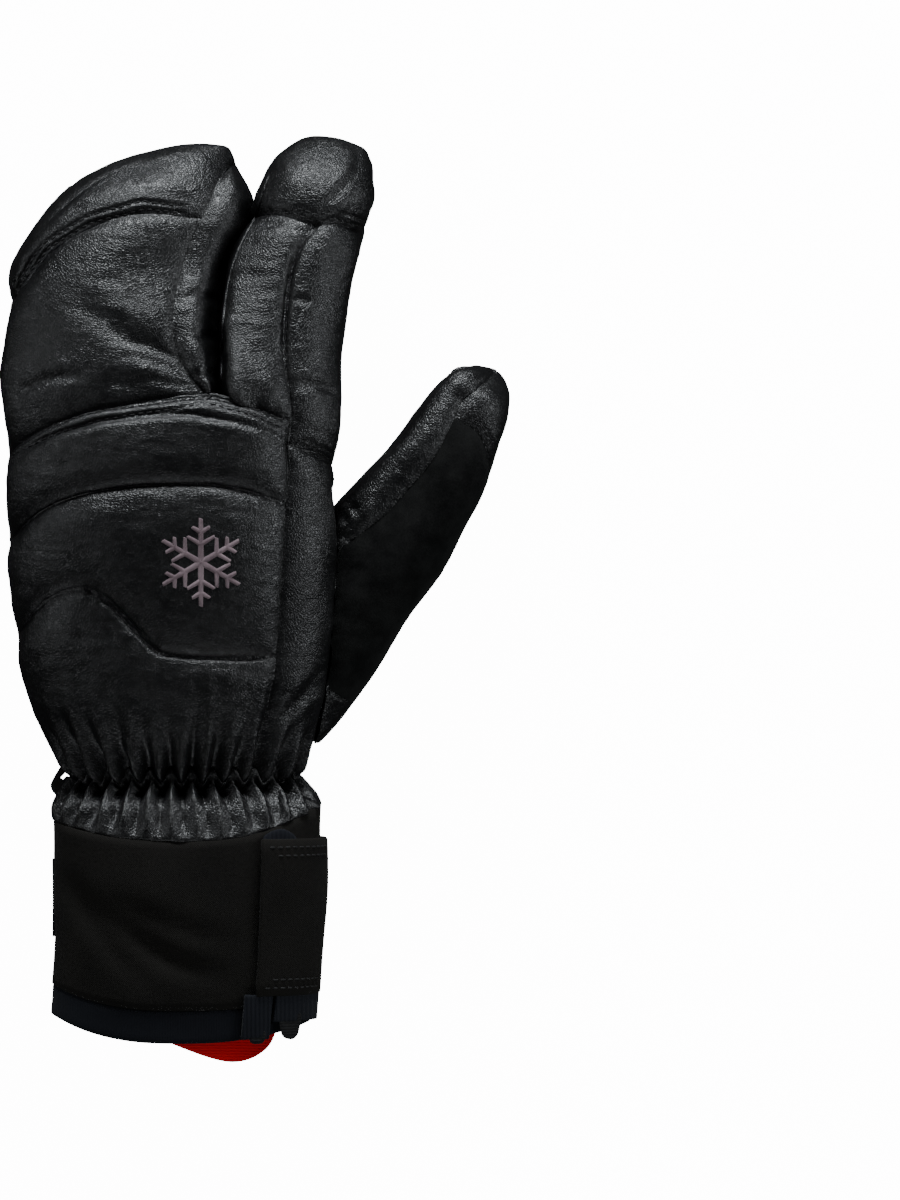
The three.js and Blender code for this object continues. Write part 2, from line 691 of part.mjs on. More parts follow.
// Panels of the index finger
const indexStrip = withEnds(onIndex([
  [0.25, 0.551], [0.23, 0.575], [0.17, 0.603], [0.11, 0.654], [0.04, 0.725], [0.02, 0.7685],
  [0.03, 0.802], [0.07, 0.833], [0.16, 0.859],
], 8), stripTop[1], null);
const indexCapBack = onIndex([
  [-1, 0.869], [-0.72, 0.880], [-0.36, 0.874], [0.03, 0.860], [0.16, 0.859],
], indexColumns, 'start');
const indexCapSide = onIndex([[0.16, 0.859], [0.30, 0.868], [0.56, 0.863], [1, 0.850]],
  stripColumns, 'end');
const indexLeft = side(indexForm, 'left', evenly(crotchAt, 0.869, 8));
const indexRight = side(palmForm, 'right', [crossAlong, 0.530])
  .concat(side(indexForm, 'right', evenly(crotchAt, 0.850, 7)));
const indexCapLeft = side(indexForm, 'left', [0.869, 0.898, 0.925]);
const indexCapRight = side(indexForm, 'right', [0.850, 0.860, 0.870]);
const indexTip = side(indexForm, 'left', [0.925, 0.960, 0.986, 1])
  .concat(side(indexForm, 'right', [0.988, 0.966, 0.940, 0.910, 0.870]));
const indexArch = onIndex([
  [-0.92, 0.924], [-0.60, 0.930], [-0.20, 0.920], [0.08, 0.895], [0.25, 0.868], [0.50, 0.860],
  [0.93, 0.868],
], indexColumns + stripColumns);
const archLeft = halfway(indexCapLeft[2], indexArch[0]);
const archRight = halfway(indexCapRight[2], indexArch[indexColumns + stripColumns]);

// Panels of the palm side
const creaseMitt = onPalm([
  [-1, 0.486], [-0.75, 0.480], [-0.50, 0.479], [-0.07, 0.500], [0.27, 0.515],
], creaseColumns, 'start');
const creaseWeb = onPalm([[0.27, 0.515], [0.40, 0.525], [0.52, 0.530]], webColumns);
const creaseIndex = onPalm([[0.52, 0.530], [0.80, 0.515], [1, crossAlong]],
  indexPalmColumns, 'end');
const palmEdge = onPalm([
  [-1, 0.085], [-0.63, 0.096], [-0.42, 0.113], [-0.216, 0.142], [-0.074, 0.186], [0.10, 0.294],
  [0.274, 0.366], [0.447, 0.412], [0.71, 0.435], [1, 0.440],
], palmColumns, 'both');
const wristPalm = onPalm([[-1, wristAlong], [0, wristAlong], [1, wristAlong]],
  palmColumns, 'both');
const webFoot = creaseMitt[creaseColumns];
const gussetFoot = creaseWeb[webColumns];
const indexGussetSeam = onIndex([
  [-0.20, 0.600], [-0.45, 0.650], [-0.55, 0.720], [-0.55, 0.800], [-0.50, 0.860], [-0.42, 0.928],
], 10);
indexGussetSeam.unshift(gussetFoot);
indexGussetSeam[11] = indexArch[2];

const panels = {
  lower_back: [leaf(palmForm, 1, wristBack, padSeam,
    side(palmForm, 'left', evenly(wristAlong, 0.215, 4)), stripLow)],
  back_pad: [leaf(palmForm, 1, padSeam, groove,
    side(palmForm, 'left', evenly(0.215, 0.366, 4)), stripMiddle)],
  knuckle_rib: [leaf(palmForm, 1, groove, joinRows([knuckleMitt[0]], knuckleMitt, knuckleWeb,
    knuckleIndex), side(palmForm, 'left', evenly(0.366, 0.500, 4)),
  joinRows([stripHigh[0]], stripHigh, stripTop))],
  thumb_side_strip: [leaf(palmForm, 1, wristStrip, stripCross,
    joinRows([stripLow[0]], stripLow, stripMiddle, stripHigh), stripSide)],
  mitt_back: [leaf(mittForm, 1, knuckleMitt, mittCapSeam, mittLeft, gussetLow)],
  mitt_gusset: [leaf(mittForm, 1, knuckleWeb, gussetEnd,
    joinRows([gussetLow[0]], gussetLow, gussetHigh), mittRight)],
  mitt_tip_cap: [
    leaf(mittForm, 1, mittCapSeam, mittTip, mittCapLeft,
      joinRows([gussetHigh[0]], gussetHigh, gussetEnd)),
    leaf(mittForm, -1, mittRoll,
      joinRows([mittCapLeft[0]], mittCapLeft, mittTip, [mittRight[9], mittRight[8]]),
      reversed(rollLeft), reversed(rollRight)),
  ],
  mitt_palm: [leaf(mittForm, -1, creaseMitt,
    joinRows([mittRoll[rollTurn]], mittRoll.slice(rollTurn), reversed(rollRight)),
    joinRows([mittPalmLeft[0]], mittPalmLeft, rollLeft, mittRoll.slice(0, rollTurn + 1)),
    joinRows([webFoot], [webFoot, mittCrotch], mittRight.slice(0, 9)))],
  index_back: [leaf(indexForm, 1, knuckleIndex, indexCapBack, indexLeft, indexStrip)],
  index_side: [leaf(indexForm, 1, stripCross, indexCapSide,
    joinRows([stripTop[0]], stripTop, indexStrip), indexRight)],
  index_tip_cap: [
    leaf(indexForm, 1, joinRows([indexCapBack[0]], indexCapBack, indexCapSide), indexTip,
      indexCapLeft, indexCapRight),
    leaf(indexForm, -1, indexArch, indexTip, reversed(archLeft), reversed(archRight)),
  ],
  index_gusset: [leaf(indexForm, -1, creaseWeb,
    joinRows([archLeft[0]], archLeft, indexArch.slice(0, 3)),
    joinRows([webFoot], [webFoot, indexCrotch], indexLeft, indexCapLeft),
    indexGussetSeam)],
  index_palm: [leaf(indexForm, -1, creaseIndex,
    joinRows([indexArch[2]], indexArch.slice(2), reversed(archRight)), indexGussetSeam,
    joinRows([indexRight[0]], indexRight, indexCapRight))],
  palm_overlay: [leaf(palmForm, -1, palmEdge, joinRows([creaseMitt[0]], creaseMitt, creaseWeb,
    creaseIndex), side(palmForm, 'left', evenly(0.085, 0.486, 5)),
  side(palmForm, 'right', evenly(0.440, crossAlong, 5)))],
  palm_panel: [leaf(palmForm, -1, wristPalm, palmEdge,
    side(palmForm, 'left', evenly(wristAlong, 0.085, 4)),
    side(palmForm, 'right', evenly(wristAlong, 0.440, 4)))],
};

// Panels of the thumb, in its own frame
const thumbStart = -0.22;
const baseAlong = -0.065;
const suedeTopAlong = 0.75;
const thumbSeamLow = onThumb([
  [-0.60, baseAlong], [-0.55, 0.15], [-0.485, 0.279], [-0.33, 0.357], [-0.23, 0.470],
  [-0.20, 0.577], [-0.13, 0.680], [-0.10, 0.760], [-0.17, 0.800],
], 7);
const thumbTipPoint = [thumbForm.left(thumbLength), thumbLength];
const thumbSeamHigh = withEnds(onThumb([
  [-0.17, 0.800], [-0.25, 0.844], [-0.165, 0.897], [0, 0.968], [0, 0.996],
], 3), null, thumbTipPoint);
const baseLeft = onThumb([[-1, baseAlong], [-0.8, baseAlong], [-0.60, baseAlong]], 3, 'start');
const baseRight = onThumb([[-0.60, baseAlong], [0.2, baseAlong], [1, baseAlong]], 4, 'end');
const suedeTop = onThumb([
  [-0.17, 0.800], [0.227, 0.814], [0.59, 0.800], [0.9, 0.760], [1, suedeTopAlong],
], 4, 'end');
const thumbTipLeft = withEnds(thumbSide('left', [0.930, 0.970, 0.992, 1]), null, thumbTipPoint);
const thumbTipRight = withEnds(thumbSide('right', [1, 0.988, 0.960, 0.925, 0.880]),
  thumbTipPoint, null);
const thumbStations = [baseAlong, 0.05, 0.17, 0.29, 0.41, 0.53, 0.65, suedeTopAlong];
const thumbLeft = thumbSide('left', thumbStations.concat([0.83, 0.885, 0.93]));
const thumbRight = thumbSide('right', thumbStations);
const thumbCapRight = thumbSide('right', [suedeTopAlong, 0.80, 0.84, 0.88]);
const thumbFoot = onThumb([[-1, thumbStart], [0, thumbStart], [1, thumbStart]], 7, 'both');
const footLeft = thumbSide('left', [thumbStart, -0.15, baseAlong]);
const footRight = thumbSide('right', [thumbStart, -0.15, baseAlong]);

const thumbPanels = {
  thumb_base: [leaf(thumbForm, 1, thumbFoot, joinRows([baseLeft[0]], baseLeft, baseRight),
    footLeft, footRight)],
  thumb_back: [leaf(thumbForm, 1, baseLeft, thumbTipLeft, thumbLeft,
    joinRows([thumbSeamLow[0]], thumbSeamLow, thumbSeamHigh))],
  thumb_pad: [leaf(thumbForm, 1, baseRight, suedeTop, thumbSeamLow, thumbRight)],
  thumb_tip_cap: [leaf(thumbForm, 1, suedeTop, thumbTipRight, thumbSeamHigh, thumbCapRight)],
  thumb_palm: [leaf(thumbForm, -1, thumbFoot,
    joinRows([thumbTipLeft[0]], thumbTipLeft, thumbTipRight),
    joinRows([footLeft[0]], footLeft, thumbLeft),
    joinRows([footRight[0]], footRight, thumbRight, thumbCapRight))],
};

// Colours and finishes
function finish(color, roughness) {
  return new THREE.MeshStandardMaterial({ color, roughness, metalness: 0 });
}
const leather = finish(0x17171a, 0.5);
const suede = finish(0x0d0d0e, 0.95);
const softshell = finish(0x1c1a18, 0.85);
const knit = finish(0x14151c, 0.95);
const hookPatch = finish(0x101012, 1);
const webbing = finish(0xd8200c, 0.7);
const plastic = finish(0x0c0c0d, 0.4);

const glove = new THREE.Group();

function addPiece(name, geometry, material) {
  const mesh = new THREE.Mesh(geometry, material);
  mesh.name = name;
  glove.add(mesh);
}

// Solids that are cut where the thumb joins the palm
const wasm = await Module();
wasm.setup();

function toSolid(geometry) {
  const merged = mergeVertices(geometry, 1e-4);
  return new wasm.Manifold(new wasm.Mesh({
    numProp: 3,
    vertProperties: new Float32Array(merged.attributes.position.array),
    triVerts: new Uint32Array(merged.index.array),
  }));
}

function toGeometry(solid) {
  const mesh = solid.getMesh();
  const geometry = new THREE.BufferGeometry();
  geometry.setAttribute('position', new THREE.Float32BufferAttribute(mesh.vertProperties, 3));
  geometry.setIndex([...mesh.triVerts]);
  return geometry;
}

function largestPiece(solid) {
  const pieces = solid.decompose();
  pieces.sort((a, b) => b.volume() - a.volume());
  return pieces[0];
}

// The whole space inside a form, grown all round by a clearance.
function core(form, stations, grown) {
  const columns = 40;
  const points = [];
  stations.forEach((y) => {
    for (let i = 0; i < columns; i += 1) {
      points.push(ringPoint(form, y, i / columns, grown));
    }
  });
  const faces = [];
  for (let j = 0; j < stations.length - 1; j += 1) {
    for (let i = 0; i < columns; i += 1) {
      const a = j * columns + i;
      const b = j * columns + (i + 1) % columns;
      faces.push([a, a + columns, b + columns], [a, b + columns, b]);
    }
  }
  const last = (stations.length - 1) * columns;
  for (let i = 1; i < columns - 1; i += 1) {
    faces.push([0, i, i + 1]);
    faces.push([last, last + i + 1, last + i]);
  }
  return solidGeometry(points, faces);
}

const thumbPlace = new THREE.Matrix4()
  .makeTranslation(thumbRootX, thumbRootY, 0)
  .multiply(new THREE.Matrix4().makeRotationZ(-THREE.MathUtils.degToRad(thumbTurn)));
const thumbCore = toSolid(core(thumbForm,
  evenly(thumbStart, 0.75, 14).map((v) => v * thumbLength), pieceGap + panelPuff)
  .applyMatrix4(thumbPlace));
const palmCore = toSolid(core(palmForm,
  evenly(wristAlong, crotchAt, 16).map((v) => v * handLength), pieceGap + panelPuff));
const cutByThumb = ['thumb_side_strip', 'palm_panel', 'palm_overlay'];

const handNormals = sharedNormals(panels);
for (const [name, leaves] of Object.entries(panels)) {
  let geometry = panel(leaves, handNormals, leatherWall);
  if (cutByThumb.includes(name)) {
    geometry = toGeometry(largestPiece(toSolid(geometry).subtract(thumbCore)));
  }
  addPiece(name, geometry, leather);
}

const thumbNormals = sharedNormals(thumbPanels);
for (const [name, leaves] of Object.entries(thumbPanels)) {
  const geometry = panel(leaves, thumbNormals, leatherWall).applyMatrix4(thumbPlace);
  const cut = toGeometry(largestPiece(toSolid(geometry).subtract(palmCore)));
  addPiece(name, cut, name === 'thumb_pad' ? suede : leather);
}

// The ring of pleats that the wrist elastic pulls in, at even lengths round the wrist
const gatherColumns = pleatCount * 4;
const cuffColumns = 48;
const ringSteps = 360;
const ringLengths = [0];
for (let i = 1; i <= ringSteps; i += 1) {
  const from = ringPoint(palmForm, gatherTop, (i - 1) / ringSteps, 0);
  const to = ringPoint(palmForm, gatherTop, i / ringSteps, 0);
  ringLengths.push(ringLengths[i - 1] + from.distanceTo(to));
}

// The turn at which a share of the way round the wrist is reached.
function evenTurn(share) {
  const length = share * ringLengths[ringSteps];
  let i = 0;
  while (i < ringSteps - 1 && ringLengths[i + 1] < length) i += 1;
  return (i + (length - ringLengths[i]) / (ringLengths[i + 1] - ringLengths[i])) / ringSteps;
}

function gatherPoint(turn, share, lift, wave) {
  const seamY = edgeY('seam', turn);
  const high = ringPoint(palmForm, gatherTop, turn, 0);
  const low = ringPoint(cuffForm, seamY, turn, 0);
  const y = THREE.MathUtils.lerp(gatherTop - pieceGap / 2, seamY + pieceGap / 2, share);
  const middle = high.lerp(low, share);
  const waist = waistDepth * Math.exp(-((y / 6) ** 2)) * Math.min(1, share / 0.15);
  const fade = Math.min(1, share / 0.3, (1 - share) / 0.25);
  const pleat = wave * pleatDepth * fade;
  const centre = new THREE.Vector3((palmForm.left(0) + palmForm.right(0)) / 2, middle.y,
    (palmForm.bottom(0) + palmForm.top(0)) / 2);
  const outward = middle.clone().sub(centre).setY(0).normalize();
  const point = middle.addScaledVector(outward, lift - waist + pleat);
  return point.setY(y);
}

function pleated(share, down, lift) {
  return gatherPoint(evenTurn(share), down, lift, Math.cos(share * pleatCount * 2 * Math.PI));
}

addPiece('wrist_gather', shell(gatherColumns, 5, true,
  (share, down) => pleated(share, down, 0),
  (share, down) => pleated(share, down, -leatherWall)), leather);

// The cuff, its hem and what is sewn on them
function cuffShell(from, to, columns, rows, closed, lift, thickness, low, high) {
  const at = (onLift) => (i, share) => {
    const turn = from + (to - from) * i;
    const y = THREE.MathUtils.lerp(high(turn), low(turn), share);
    const extra = typeof lift === 'function' ? lift(turn) : lift;
    return ringPoint(cuffForm, y, turn, extra + onLift);
  };
  return shell(columns, rows, closed, at(thickness), at(0));
}

addPiece('cuff', cuffShell(0, 1, cuffColumns, 5, true, -clothWall, clothWall,
  (turn) => edgeY('hem', turn) + pieceGap / 2,
  (turn) => edgeY('seam', turn) - pieceGap / 2), softshell);
addPiece('cuff_hem', cuffShell(0, 1, cuffColumns, 2, true, -clothWall - hemInset, clothWall,
  (turn) => edgeY('end', turn),
  (turn) => edgeY('hem', turn) - pieceGap / 2), knit);

// The strap starts on the back, goes round the thumb side and ends on the palm side, where its
// two corners are round
const turnStep = 1 / cuffColumns;
const strapTopY = -0.25 * sleeveLength;
const strapEndY = -0.82 * sleeveLength;
const strapFrom = -13 * turnStep;
const strapTo = 8 * turnStep;
const patchTopY = -0.24 * sleeveLength;
const patchEndY = -0.76 * sleeveLength;
const labelTopY = -0.33 * sleeveLength;
const overPatch = pieceGap + patchThickness;
const strapLift = (turn) => pieceGap
  + overPatch * THREE.MathUtils.smoothstep(-turn, 3 * turnStep, 8 * turnStep);
const palmSideY = (strapTopY + strapEndY) / 2;
const strapTip = ringPoint(cuffForm, palmSideY, strapFrom, 0);
function roundOff(turn) {
  const inFrom = strapTip.distanceTo(ringPoint(cuffForm, palmSideY, turn, 0));
  const left = Math.max(0, strapCorner - inFrom);
  return turn > 0 ? 0 : strapCorner - Math.sqrt(strapCorner ** 2 - left ** 2);
}
addPiece('cuff_strap', cuffShell(strapFrom, strapTo, 42, 3, false, strapLift, strapThickness,
  (turn) => strapEndY + roundOff(turn), (turn) => strapTopY - roundOff(turn)), softshell);
addPiece('strap_patch', cuffShell(-20 * turnStep, -10 * turnStep, 10, 2, false, pieceGap,
  patchThickness, () => patchEndY, () => patchTopY), hookPatch);
addPiece('side_label', cuffShell(-23 * turnStep, -21 * turnStep, 2, 2, false, pieceGap,
  labelThickness, () => labelTopY - labelLength, () => labelTopY), knit);

// The ribbed elastic that comes out under the strap: a long end over the hem and a short
// folded one beside it
function elasticEnd(name, from, to, length) {
  const top = strapEndY - pieceGap;
  addPiece(name, cuffShell(from * turnStep, to * turnStep, 4, 2, false, pieceGap,
    tabThickness, () => top - length, () => top), knit);
}
elasticEnd('hem_elastic', 6.8, 8.7, longEnd);
elasticEnd('hem_tab', 0.5, 6.5, shortEnd);

// The pull loop, a flat band in a U under the open end of the cuff. Its rows are across, a
// share of cuffWidth, and below the cuff's end, a share of loopReach.
const loopRows = [
  [-0.295, -2.12],
  [-0.214, -1.00],
  [-0.028, 0.08],
  [0.174, 0.62],
  [0.264, -0.04],
  [0.262, -1.06],
  [0.228, -1.56],
];
function pullLoop() {
  const end = -sleeveLength;
  const path = new THREE.CatmullRomCurve3(loopRows.map(([across, below]) => new THREE.Vector3(
    cuffShift + across * cuffWidth, end - below * loopReach, 0)), false, 'centripetal');
  const under = (x, y) => surfaceHeight(cuffForm, x, Math.max(y, end), -1);
  const at = (depth) => (i, share) => {
    const point = path.getPointAt(i);
    const run = path.getTangentAt(i);
    const x = point.x + run.y * (share - 0.5) * loopWidth;
    const y = point.y - run.x * (share - 0.5) * loopWidth;
    return new THREE.Vector3(x, y, under(x, y) - 2 * pieceGap - depth);
  };
  return shell(20, 2, false, at(loopThickness), at(0));
}
addPiece('pull_loop', pullLoop(), webbing);

// The hook that joins the pair, on its tape at the little finger side of the wrist. Its
// outline is turned so that its slot opens down towards the wrist.
const tapeTurns = [-0.42, -0.37];
const tapeShares = [0.05, 0.33];
const tapeLift = pleatDepth + 2 * pieceGap;
const tapeAt = (lift) => (i, share) => gatherPoint(
  THREE.MathUtils.lerp(...tapeTurns, i), THREE.MathUtils.lerp(...tapeShares, share),
  tapeLift + lift, 0);
addPiece('clip_tape', shell(4, 3, false, tapeAt(tapeThickness), tapeAt(0)), webbing);

// Rows of the hook's outline: across, a share of clipWidth, and along, a share of clipLength
const clipOutline = [
  [-0.32, 0.00],
  [-0.63, -0.25],
  [-0.91, -0.58],
  [-0.97, -0.72],
  [-0.89, -0.87],
  [-0.69, -1.00],
  [-0.22, -0.73],
  [-0.15, -0.66],
  [-0.41, -0.48],
  [-0.55, -0.59],
  [-0.66, -0.53],
  [-0.42, -0.36],
  [-0.08, -0.60],
  [0.00, -0.54],
  [-0.15, -0.29],
];
const clipTopY = gatherTop + 1.75;
const clipGeometry = new THREE.ExtrudeGeometry(
  new THREE.Shape(clipOutline.map(([across, along]) => new THREE.Vector2(
    across * clipWidth, along * clipLength))),
  { depth: clipDepth, bevelEnabled: false });
const seatShare = 0.8;
const tapeOuter = evenly(0, 1, 6).map((i) => tapeAt(tapeThickness + pieceGap)(i, seatShare));
const clipX = Math.min(...tapeOuter.map((point) => point.x));
clipGeometry.translate(clipX, clipTopY, clipLift);
addPiece('clip', clipGeometry, plastic);

// The origin is on the surface that the glove lies on, under the middle of its outline
const box = new THREE.Box3().setFromObject(glove);
const middle = box.getCenter(new THREE.Vector3());
glove.position.set(-middle.x, -middle.y, -box.min.z);

export default glove;
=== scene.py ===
import math

import bmesh
import bpy
import numpy as np
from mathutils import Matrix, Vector
from mathutils.bvhtree import BVHTree
from mathutils.kdtree import KDTree


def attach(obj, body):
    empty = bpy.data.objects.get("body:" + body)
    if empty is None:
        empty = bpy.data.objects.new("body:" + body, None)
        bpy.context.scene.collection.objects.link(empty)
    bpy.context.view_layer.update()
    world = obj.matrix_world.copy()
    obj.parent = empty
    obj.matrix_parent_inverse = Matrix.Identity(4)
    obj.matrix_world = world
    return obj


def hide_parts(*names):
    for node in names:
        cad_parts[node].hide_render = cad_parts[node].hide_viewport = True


# The looks of a padded leather ski glove for the left hand, laid over its solids: soft panels with
# their seams, stitches and creases, the pleats of the wrist, and the cloth cuff with its strap.

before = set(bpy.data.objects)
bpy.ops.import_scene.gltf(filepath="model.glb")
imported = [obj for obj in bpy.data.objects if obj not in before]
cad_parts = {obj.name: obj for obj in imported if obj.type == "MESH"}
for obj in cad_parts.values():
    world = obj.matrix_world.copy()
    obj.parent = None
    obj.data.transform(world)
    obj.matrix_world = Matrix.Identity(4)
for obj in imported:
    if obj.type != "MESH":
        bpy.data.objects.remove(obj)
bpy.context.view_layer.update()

# Units and the photo's scale
MM = 0.001
PIXEL = 0.315 * MM
PHOTO_WIDTH, PHOTO_HEIGHT = 900, 1200
VIEW_X, VIEW_Y = 61.0 * MM, 0.3 * MM
LENS = 240.0
SENSOR = 36.0
FOCUS_HEIGHT = 34 * MM
CLIP_START = 0.01

# How the faceted forms are cleaned, rounded and kept crisp: the weld, the angles up to which two
# triangles make a quad, the angle of a sharp edge, the levels of rounding and how crisp an edge
# stays, and the steps and the share of each one that hold the corners in place
WELD = 0.004 * MM
FLAT_QUAD, EVEN_QUAD = math.radians(35), math.radians(70)
SHARP = math.radians(48)
LEVELS = 3
PANEL_CRISPNESS = 0.35
GATHER_LEVELS, GATHER_CRISPNESS = 2, 0.4
HOLD_STEPS, HOLD_SHARE = 3, 0.8

# The step between the points of a line that is drawn on the photo
LINE_STEP = 2 * MM

# The seam where the wrist elastic is sewn in, the section there, and the pleats that it draws: how
# far they rise and reach, how uneven they are, how the seam cinches them in and how they end at
# the cuff
ELASTIC_Y = -51.4 * MM
WRIST_X, WRIST_Z = -22.9 * MM, 30.6 * MM
WRIST_HALF, WRIST_RISE = 38.9 * MM, 24.8 * MM
WRIST_SQUARE = 2.3
PLEATS = 30
PLEAT_POINT = 2.4 * MM
SEAM_DROP = 3.2 * MM
PLEAT_RISE_ABOVE, PLEAT_RISE_BELOW = 1.3 * MM, 0.8 * MM
PLEAT_REACH_ABOVE, PLEAT_REACH_BELOW = 11 * MM, 6 * MM
PLEAT_SIZE_VARIES, PLEAT_LENGTH_VARIES = 0.35, 0.4
PLEAT_SIZE_WAVE = (22 * MM, 6, (1, 0.2, 1), 8)
PLEAT_LENGTH_WAVE = (16 * MM, 7, (1, 0.1, 1), 8)
POINT_REACH = 8 * MM
SEAM_WIDTH = 1.6 * MM
CINCH_DEPTH, CINCH_WIDTH = 0.8 * MM, 1.3 * MM
FOOT_DIP, FOOT_BELOW, FOOT_WIDTH = 0.8 * MM, 13 * MM, 3 * MM

# Where the two finger compartments touch, on the photo, how far each is pressed out to it, in mm,
# and the shares of the line over which that fades out at the tips and at the crotch
MEETING = [(238, 168), (251, 209), (240, 236), (229, 270), (222, 300), (219, 330), (217.5, 350),
           (217, 370), (219, 394), (220, 412)]
MEET_MITT = 1.7
MEET_INDEX = 2.1
MEET_REACH = 7 * MM
MEET_FADE_TIP, MEET_FADE_CROTCH = 0.12, 0.06

# How far the sewn edges reach towards each other, outside and inside
EDGE_REACH = 0.18 * MM
LINING_REACH = 0.55 * MM

# The floor, how brightly it and the room glow, and the studio lights: name, place, width and
# height in metres, and power in watts
FLOOR_SIZE = 6
FLOOR_GLOW = 14.0
WORLD_GLOW = 0.02
LIGHTS = [
    ("key", (-0.02, 1.2, 0.38), (0.8, 0.26), 22),
    ("left", (-0.95, 0.2, 0.45), (0.3, 0.7), 2.5),
    ("right", (1.0, 0.2, 0.45), (0.3, 0.7), 5.5),
    ("low", (0.0, -1.0, 0.5), (0.8, 0.3), 3.0),
]
LIGHT_AIM = (-0.02, 0.02, 0.03)
LIGHT_COLOUR = (0.93, 0.97, 1.0)

# Stitches: their pitch, the steps that make up one pitch, and their length and thickness
STITCH_PITCH = 2.7 * MM
STITCH_STEPS = 6
STITCH_LENGTH = 2.1 * MM
THREAD = 0.27 * MM

# A row of stitches: how deep it pulls the leather in, how far the leather swells beside it, how
# wide it is, the step between its points and the fewest that it has
ROW_DEPTH = 0.3 * MM
ROW_SWELL = 0.3 * MM
ROW_WIDTH = 0.75 * MM
ROW_STEP = 0.5 * MM
ROW_POINTS = 8

# How near its guide line a row of stitches stays, and the height under which it isn't sewn
GUIDE_REACH = 5 * MM
GUIDE_LOW = 16 * MM

# The form of one thread from end to end: along its length, then its thickness and its height as
# shares of its radius. Its ends go down into the surface.
THREAD_FORM = np.array([
    (-0.5, 0.4, -1.0), (-0.38, 0.85, -0.2), (-0.14, 1, 0.35),
    (0.14, 1, 0.35), (0.38, 0.85, -0.2), (0.5, 0.4, -1.0),
])
THREAD_SIDES = 6

# The uneven waves of leather, gathers and cloth: height and length in mm, the seed, and how much
# shorter they are along each axis
LEATHER_WAVES = [(0.30, 26, 1, (1, 1, 1)), (0.07, 9, 2, (1, 1.8, 1)), (0.02, 4.2, 3, (0.8, 1.5, 1))]
GATHER_WAVES = [(0.14, 7, 8, (1, 0.6, 1))]
CLOTH_WAVES = [(0.45, 24, 11, (1, 0.6, 1))]

# How the leather sinks towards a seam, as shares of its swell and their reach, and puckers there
SINK_FAR, SINK_FAR_REACH = 0.6, 5 * MM
SINK_NEAR, SINK_NEAR_REACH = 0.9, 1.4 * MM
PUCKER_PITCH = 5.2 * MM
PUCKER_RISE, PUCKER_REACH = 0.08 * MM, 4 * MM
SEAM_STEP = 0.8 * MM

# A crease fades out over this share of its length, and swells beside it by this share of its
# depth and so many times as wide
CREASE_FADE = 0.3
CREASE_SWELL, CREASE_SPREAD = 0.35, 2.6

# How far round the sides the creases of a panel and the folds of the cuff reach, by how much the
# surface faces up, and over how much of that they fade in
FACE_ROUND, FACE_FADE = 0.15, 0.5
FOLD_ROUND, FOLD_FADE = 0.1, 0.4

# The grain of leather: how many cells, waves and wrinkles in a metre, and how deep each one is
GRAIN, GRAIN_DEPTH = 1300, 0.12 * MM
GRAIN_EDGE = 0.24
GRAIN_WARP, GRAIN_SHIFT = 260, 1.1 * MM
WRINKLES, WRINKLE_DEPTH = 190, 0.7 * MM
SOFT_WAVES, SOFT_DEPTH = 55, 1.6 * MM
SHINE_PATCHES = 90

# The gloss of cloth, how many patches of colour it has in a metre, the part of the noise that they
# are made from, and the ways that threads run: along the piece, across it or crossed
PILE_GLOSS, PILE_PATCHES = 0.12, 130
WOVEN_GLOSS, WOVEN_PATCHES = 0.15, 45
PATCH_LOW, PATCH_HIGH = 0.35, 0.65
ALONG, ACROSS = [(0, 0, 0)], [(0, 0, math.pi / 2)]
CROSSED = [(0, 0, 0.8), (0, 0, -0.8)]

# The leather panels: how full the padding behind each one is, and how far it swells, in mm
PADDED = {
    "lower_back": (0.6, 0.9), "back_pad": (0.8, 1.3), "knuckle_rib": (0.9, 1.4),
    "thumb_side_strip": (0.6, 0.6), "mitt_back": (0.7, 0.9), "mitt_gusset": (0.6, 0.8),
    "mitt_tip_cap": (0.7, 0.8), "mitt_palm": (0.5, 0.4), "index_back": (0.7, 0.6),
    "index_side": (0.7, 0.9), "index_tip_cap": (0.8, 0.8), "index_gusset": (0.6, 0.4),
    "index_palm": (0.6, 0.4), "palm_overlay": (0.4, 0.3), "palm_panel": (0.4, 0.3),
    "thumb_base": (0.4, 0.3), "thumb_back": (0.8, 1.2), "thumb_pad": (0.7, 0.4),
    "thumb_tip_cap": (0.8, 0.6), "thumb_palm": (0.7, 0.4),
}
FINER = ("mitt_tip_cap", "index_tip_cap", "knuckle_rib", "mitt_back", "mitt_gusset", "lower_back",
         "back_pad", "index_back", "index_side")
COARSER = ("palm_panel", "thumb_palm")
PLEATED = ("lower_back", "back_pad", "knuckle_rib", "thumb_side_strip", "palm_overlay", "palm_panel")
PALM_SIDE = ("mitt_palm", "index_palm", "palm_overlay", "palm_panel", "thumb_palm", "index_gusset")

